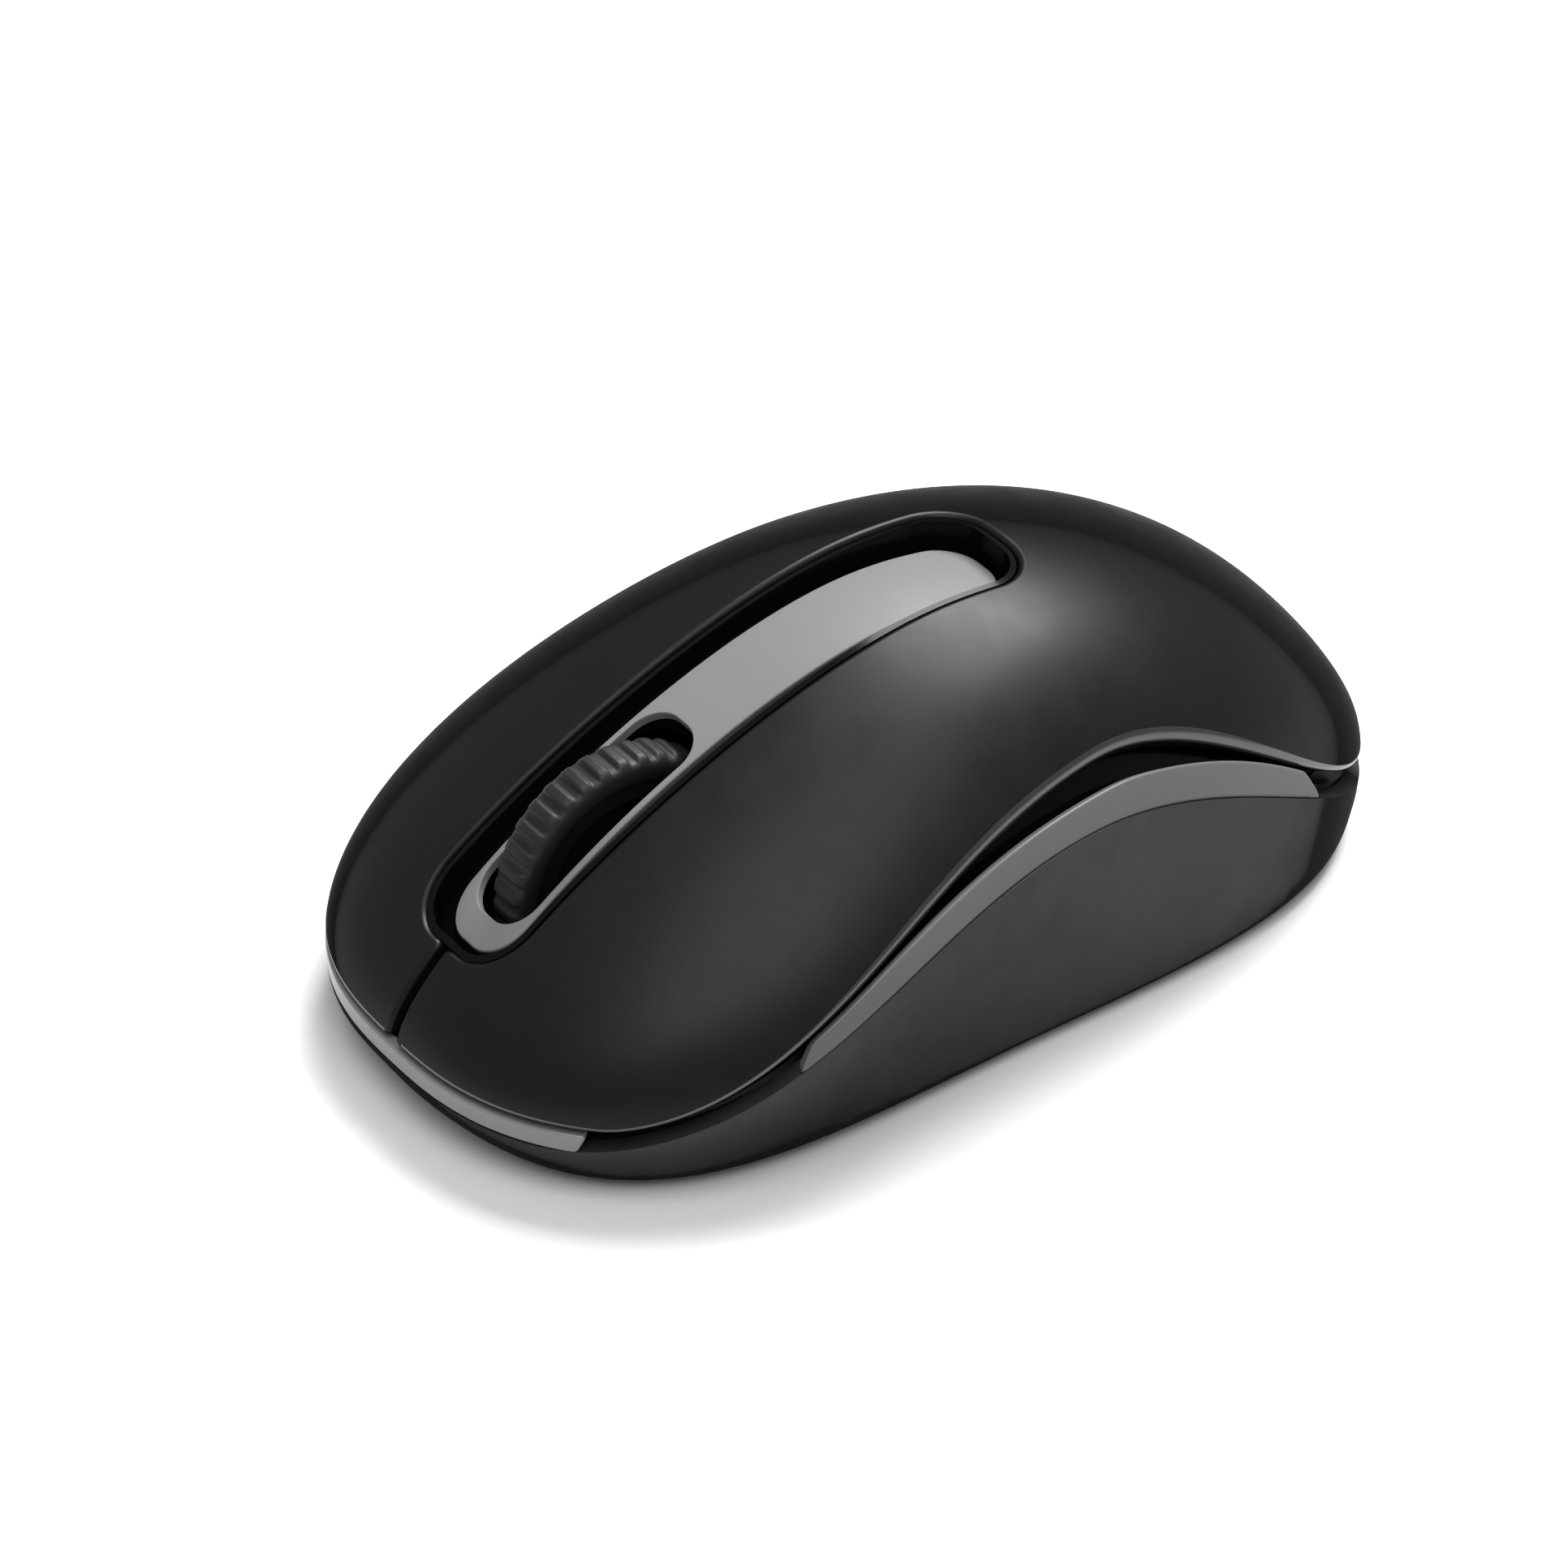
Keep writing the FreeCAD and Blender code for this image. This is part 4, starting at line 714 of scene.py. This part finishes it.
moulded("cover_black", grey(0.003), grey(0.004), (0.36, 0.42), 0.12, 0.002,
        specular=0.16, grazing=0.002)
moulded("lip_polish", grey(0.003), grey(0.004), (0.2, 0.26), 0.3, 0.001, specular=1.0)
moulded("base_charcoal", grey(0.008), grey(0.01), (0.42, 0.5), 0.2, 0.004,
        specular=0.36, grazing=0.002)
moulded("gloss_black", grey(0.002), grey(0.003), (0.1, 0.16), 0.5, 0.001,
        specular=0.08, grazing=0.001)
moulded("inlay_grey", grey(0.13), grey(0.14), (0.4, 0.46), 0.5, 0.001,
        specular=0.12, grazing=0.01)
moulded("trim_grey", grey(0.08), grey(0.09), (0.34, 0.4), 0.25, 0.002,
        specular=0.2, grazing=0.05)
moulded("nose_grey", grey(0.15), grey(0.16), (0.14, 0.2), 0.5, 0.001)
moulded("tyre_rubber", grey(0.008), grey(0.012), (0.42, 0.55), 0.15, specular=0.2)
moulded("hub_plastic", grey(0.004), grey(0.006), (0.25, 0.35), 0.3, 0.003, specular=0.12)
moulded("glide_foot", grey(0.03), grey(0.04), (0.3, 0.4), 0.3, 0.004)
moulded("board_green", (0.01, 0.09, 0.03), (0.015, 0.12, 0.045), (0.25, 0.35), 0.4, 0.004)
moulded("part_black", grey(0.015), grey(0.02), (0.45, 0.55), 0.2)
moulded("plunger_red", (0.4, 0.03, 0.02), (0.48, 0.04, 0.03), (0.35, 0.45))
moulded("encoder_plastic", (0.015, 0.05, 0.15), (0.02, 0.07, 0.2), (0.35, 0.45))
clear("lens_clear", (0.9, 0.93, 0.95))
clear("lamp_red", (0.8, 0.05, 0.04))
moulded("bright_metal", grey(0.55), grey(0.62), (0.2, 0.32), 0.3, 0.003, metal=1.0)
moulded("cell_wrap", (0.02, 0.03, 0.06), (0.03, 0.045, 0.08), (0.2, 0.3))
moulded("tray_black", grey(0.015), grey(0.02), (0.4, 0.5), 0.3)
moulded("label_grey", grey(0.3), grey(0.33), (0.5, 0.6), 0.4, 0.002)
moulded("screw_steel", grey(0.3), grey(0.36), (0.3, 0.42), 0.3, 0.004, metal=1.0)


def finish_frame():
    """Give every CAD node the material of its slot."""
    for part in frame["record"]["subparts"]:
        item = NODES[part["node"]]
        item.data.materials.clear()
        item.data.materials.append(FINISH[part["material_slot"]])


# ---------------------------------------------------------------- pieces

def make_cover():
    """The palm and the two keys, which meet it along the seam."""
    black, polish = FINISH["cover_black"], FINISH["lip_polish"]
    palm = skin(palm_chains(), 0.0, COVER_WALL).piece("palm_cover", black, polish)
    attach(palm, "housing")
    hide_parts("top_shell")
    left = key_chains()
    right = [mirrored(chain) for chain in left]
    for side, chains in (("left", left), ("right", right)):
        key = skin(chains, 0.0, COVER_WALL).piece(side + "_key_cover", black, polish)
        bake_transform(key)
        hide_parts(side + "_button")


INLAY = {"front": -40.2, "rear": 13.1, "half": 4.15, "corner": 3.4}
OPENING = {"front": -38.0, "rear": -18.3, "half": 3.5, "corner": 2.8}
INLAY_DEPTH = 1.5        # of its face below the cover's
INLAY_WALL = 0.85


def make_inlay():
    """The light strip in the slot, with the wheel's opening."""
    hole = strip_loop(OPENING, INLAY_DEPTH, 0.12)
    outline = strip_loop(INLAY, INLAY_DEPTH, 0.2)[::-1]
    made = skin(outline, INLAY_DEPTH, INLAY_WALL, 0.7, 0.1, [hole])
    made.points = [(x, y, z - tray_dip(y)) for x, y, z in made.points]
    inlay = made.piece("inlay_strip", FINISH["inlay_grey"])
    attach(inlay, "housing")
    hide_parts("centre_inlay")


TRIM_WALL = 1.15
TRIM_LOWER = (-26.2, 33.0)      # front and rear ends of a side trim's lower edge
TRIM_UPPER = (-24.6, 31.4)      # and of its upper edge
TRIM_SEAT = 0.05                # between the base's edge and the trim


def crescent_loop():
    """Outline of the left side trim."""
    low = np.linspace(*TRIM_LOWER, 400)
    seat = scallop(low, EDGE) + TRIM_SEAT
    lower = np.column_stack([side_x(low, seat), low, seat])
    high = np.linspace(*TRIM_UPPER[::-1], 400)
    upper = np.column_stack([side_x(high, trim_top(high)), high, trim_top(high)])
    loop = soften(np.vstack([lower, upper]), 0.4, closed=True)
    roll = 0.1 + 0.2 * ease(-26.0, -8.0, loop[:, 1])
    return line_up(with_roll(loop, roll), PIECE_SPACING, closed=True)


def make_crescents():
    """The grey trims that lie on the base's edge on both sides."""
    loop = crescent_loop()
    for side, line in (("left", loop), ("right", mirrored(loop))):
        trim = skin(line, 0.0, TRIM_WALL, 0.7, 0.2).piece(side + "_crescent", FINISH["trim_grey"])
        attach(trim, "housing")
        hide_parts("side_trim_" + side)


NOSE_LOWER = {"z": 5.05, "half": 18.8}
NOSE_UPPER = {"z": 6.9, "half": 19.4}
NOSE_ROLL = 0.28


def nose_loop():
    """Outline of the strip across the nose: its lower edge, then the upper one back."""
    edges = []
    for edge in (NOSE_LOWER, NOSE_UPPER):
        y = sweep(-HALF_LENGTH + 0.001, -30.0, 500)
        z = np.full(len(y), edge["z"])
        x = side_x(y, z)
        left = np.column_stack([x, y, z])[x < edge["half"]]
        edges.append(np.vstack([mirrored(left), left[1:]]))
    loop = soften(np.vstack([edges[0], edges[1][::-1]]), 0.25, closed=True)
    return line_up(with_roll(loop, NOSE_ROLL), PIECE_SPACING, closed=True)


def make_nose_strip():
    """The gloss strip across the nose."""
    strip = skin(nose_loop(), 0.0, TRIM_WALL, 0.6, 0.2).piece("nose_strip", FINISH["nose_grey"])
    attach(strip, "housing")
    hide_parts("front_trim")


WHEEL_BACK = -25.2       # y of the wheel's axis
WHEEL_HEIGHT = 15.5
TYRE = {"radius": 11.45, "bore": 9.0, "width": 4.0, "shoulder": 1.1, "chamfer": 0.3}
RIBS = 36
RIB_STEPS = 14           # vertices along the tread for one rib
RIB_DEPTH = 0.38


def tyre_profile():
    """The tyre's section from bore to bore: x, radius and share of the grooves' depth."""
    half, radius, shoulder = TYRE["width"] / 2, TYRE["radius"], TYRE["shoulder"]
    profile = [(-half + TYRE["chamfer"], TYRE["bore"], 0.0),
               (-half, TYRE["bore"] + TYRE["chamfer"], 0.0),
               (-half, radius - shoulder, 0.0)]
    for turn in np.linspace(0, math.pi / 2, 7)[1:]:
        profile.append((-half + shoulder * (1 - math.cos(turn)),
                        radius - shoulder * (1 - math.sin(turn)), math.sin(turn) ** 2))
    profile.append((0.0, radius, 1.0))
    return profile + [(-x, r, share) for x, r, share in profile[-2::-1]]


def make_tyre():
    """The rubber tyre with raised ribs across its tread."""
    count = RIBS * RIB_STEPS
    turns = np.arange(count) * 2 * math.pi / count
    groove = RIB_DEPTH * (1 - ease(-0.55, 0.35, np.cos(turns * RIBS)))
    made = Mesh()
    rows = []
    for x, r, share in tyre_profile():
        reach = r - groove * share
        rows.append(made.add(np.column_stack([np.full(count, x),
                                              WHEEL_BACK + reach * np.cos(turns),
                                              WHEEL_HEIGHT + reach * np.sin(turns)])))
    for row, following in zip(rows, rows[1:] + rows[:1]):
        made.strip(row, following, closed=True)
    return made


def make_wheel():
    """The tyre, which turns with the wheel."""
    tyre = make_tyre().piece("ribbed_tyre", FINISH["tyre_rubber"])
    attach(tyre, "wheel")
    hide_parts("wheel_tyre")


# ---------------------------------------------------------------- stage, light and camera

FLOOR_HALF = 3.0         # metres, like the distances and sizes of lights and camera below
WORLD_STRENGTH = 0.5
SUBJECT = (0, 0, 0.015)  # where the lights point
CAMERA = {"azimuth": 54.14, "elevation": 36.35, "distance": 0.5064,
          "target": (0, -0.00784, 0.0164), "lens": 136.9, "sensor": 36.0, "nearest": 0.01}


def make_floor():
    """The pale floor that the mouse stands on."""
    half = FLOOR_HALF
    data = bpy.data.meshes.new("floor")
    corners = [(-half, -half, 0), (half, -half, 0), (half, half, 0), (-half, half, 0)]
    data.from_pydata(corners, [], [(0, 1, 2, 3)])
    item = link("floor", data)
    moulded("floor_pale", grey(0.6), grey(0.61), (0.7, 0.8), 2.0, 0.0)
    data.materials.append(FINISH["floor_pale"])


def soft_light(name, direction, distance, side, power):
    """A square area light in a direction from the subject."""
    data = bpy.data.lights.new(name, "AREA")
    data.shape = "RECTANGLE"
    data.size = side
    data.size_y = side
    data.energy = power
    item = link(name, data)
    way = Vector(direction).normalized()
    item.location = Vector(SUBJECT) + way * distance
    item.rotation_euler = way.to_track_quat("Z", "Y").to_euler()


def make_lights():
    """Two soft lights high behind and in front, in a plain white world."""
    soft_light("rear_soft", (-0.27, 0.51, 0.82), distance=0.8, side=0.42, power=14.4)
    soft_light("front_soft", (0.35, -0.24, 0.91), distance=1.0, side=0.8, power=8.0)
    world = bpy.data.worlds.new("studio")
    world.use_nodes = True
    back = world.node_tree.nodes["Background"]
    back.inputs["Color"].default_value = (1, 1, 1, 1)
    back.inputs["Strength"].default_value = WORLD_STRENGTH
    bpy.context.scene.world = world


def make_camera():
    """A long lens above and ahead of the mouse, on its left."""
    azimuth = math.radians(CAMERA["azimuth"])
    elevation = math.radians(CAMERA["elevation"])
    way = Vector((math.sin(azimuth) * math.cos(elevation),
                  -math.cos(azimuth) * math.cos(elevation), math.sin(elevation)))
    data = bpy.data.cameras.new("camera")
    data.lens = CAMERA["lens"]
    data.sensor_width = CAMERA["sensor"]
    data.clip_start = CAMERA["nearest"]
    item = link("camera", data)
    item.location = Vector(CAMERA["target"]) + way * CAMERA["distance"]
    item.rotation_euler = way.to_track_quat("Z", "Y").to_euler()
    bpy.context.scene.camera = item


bpy.context.scene.view_settings.view_transform = "Standard"
make_camera()
finish_frame()
make_cover()
make_inlay()
make_crescents()
make_nose_strip()
make_wheel()
make_floor()
make_lights()
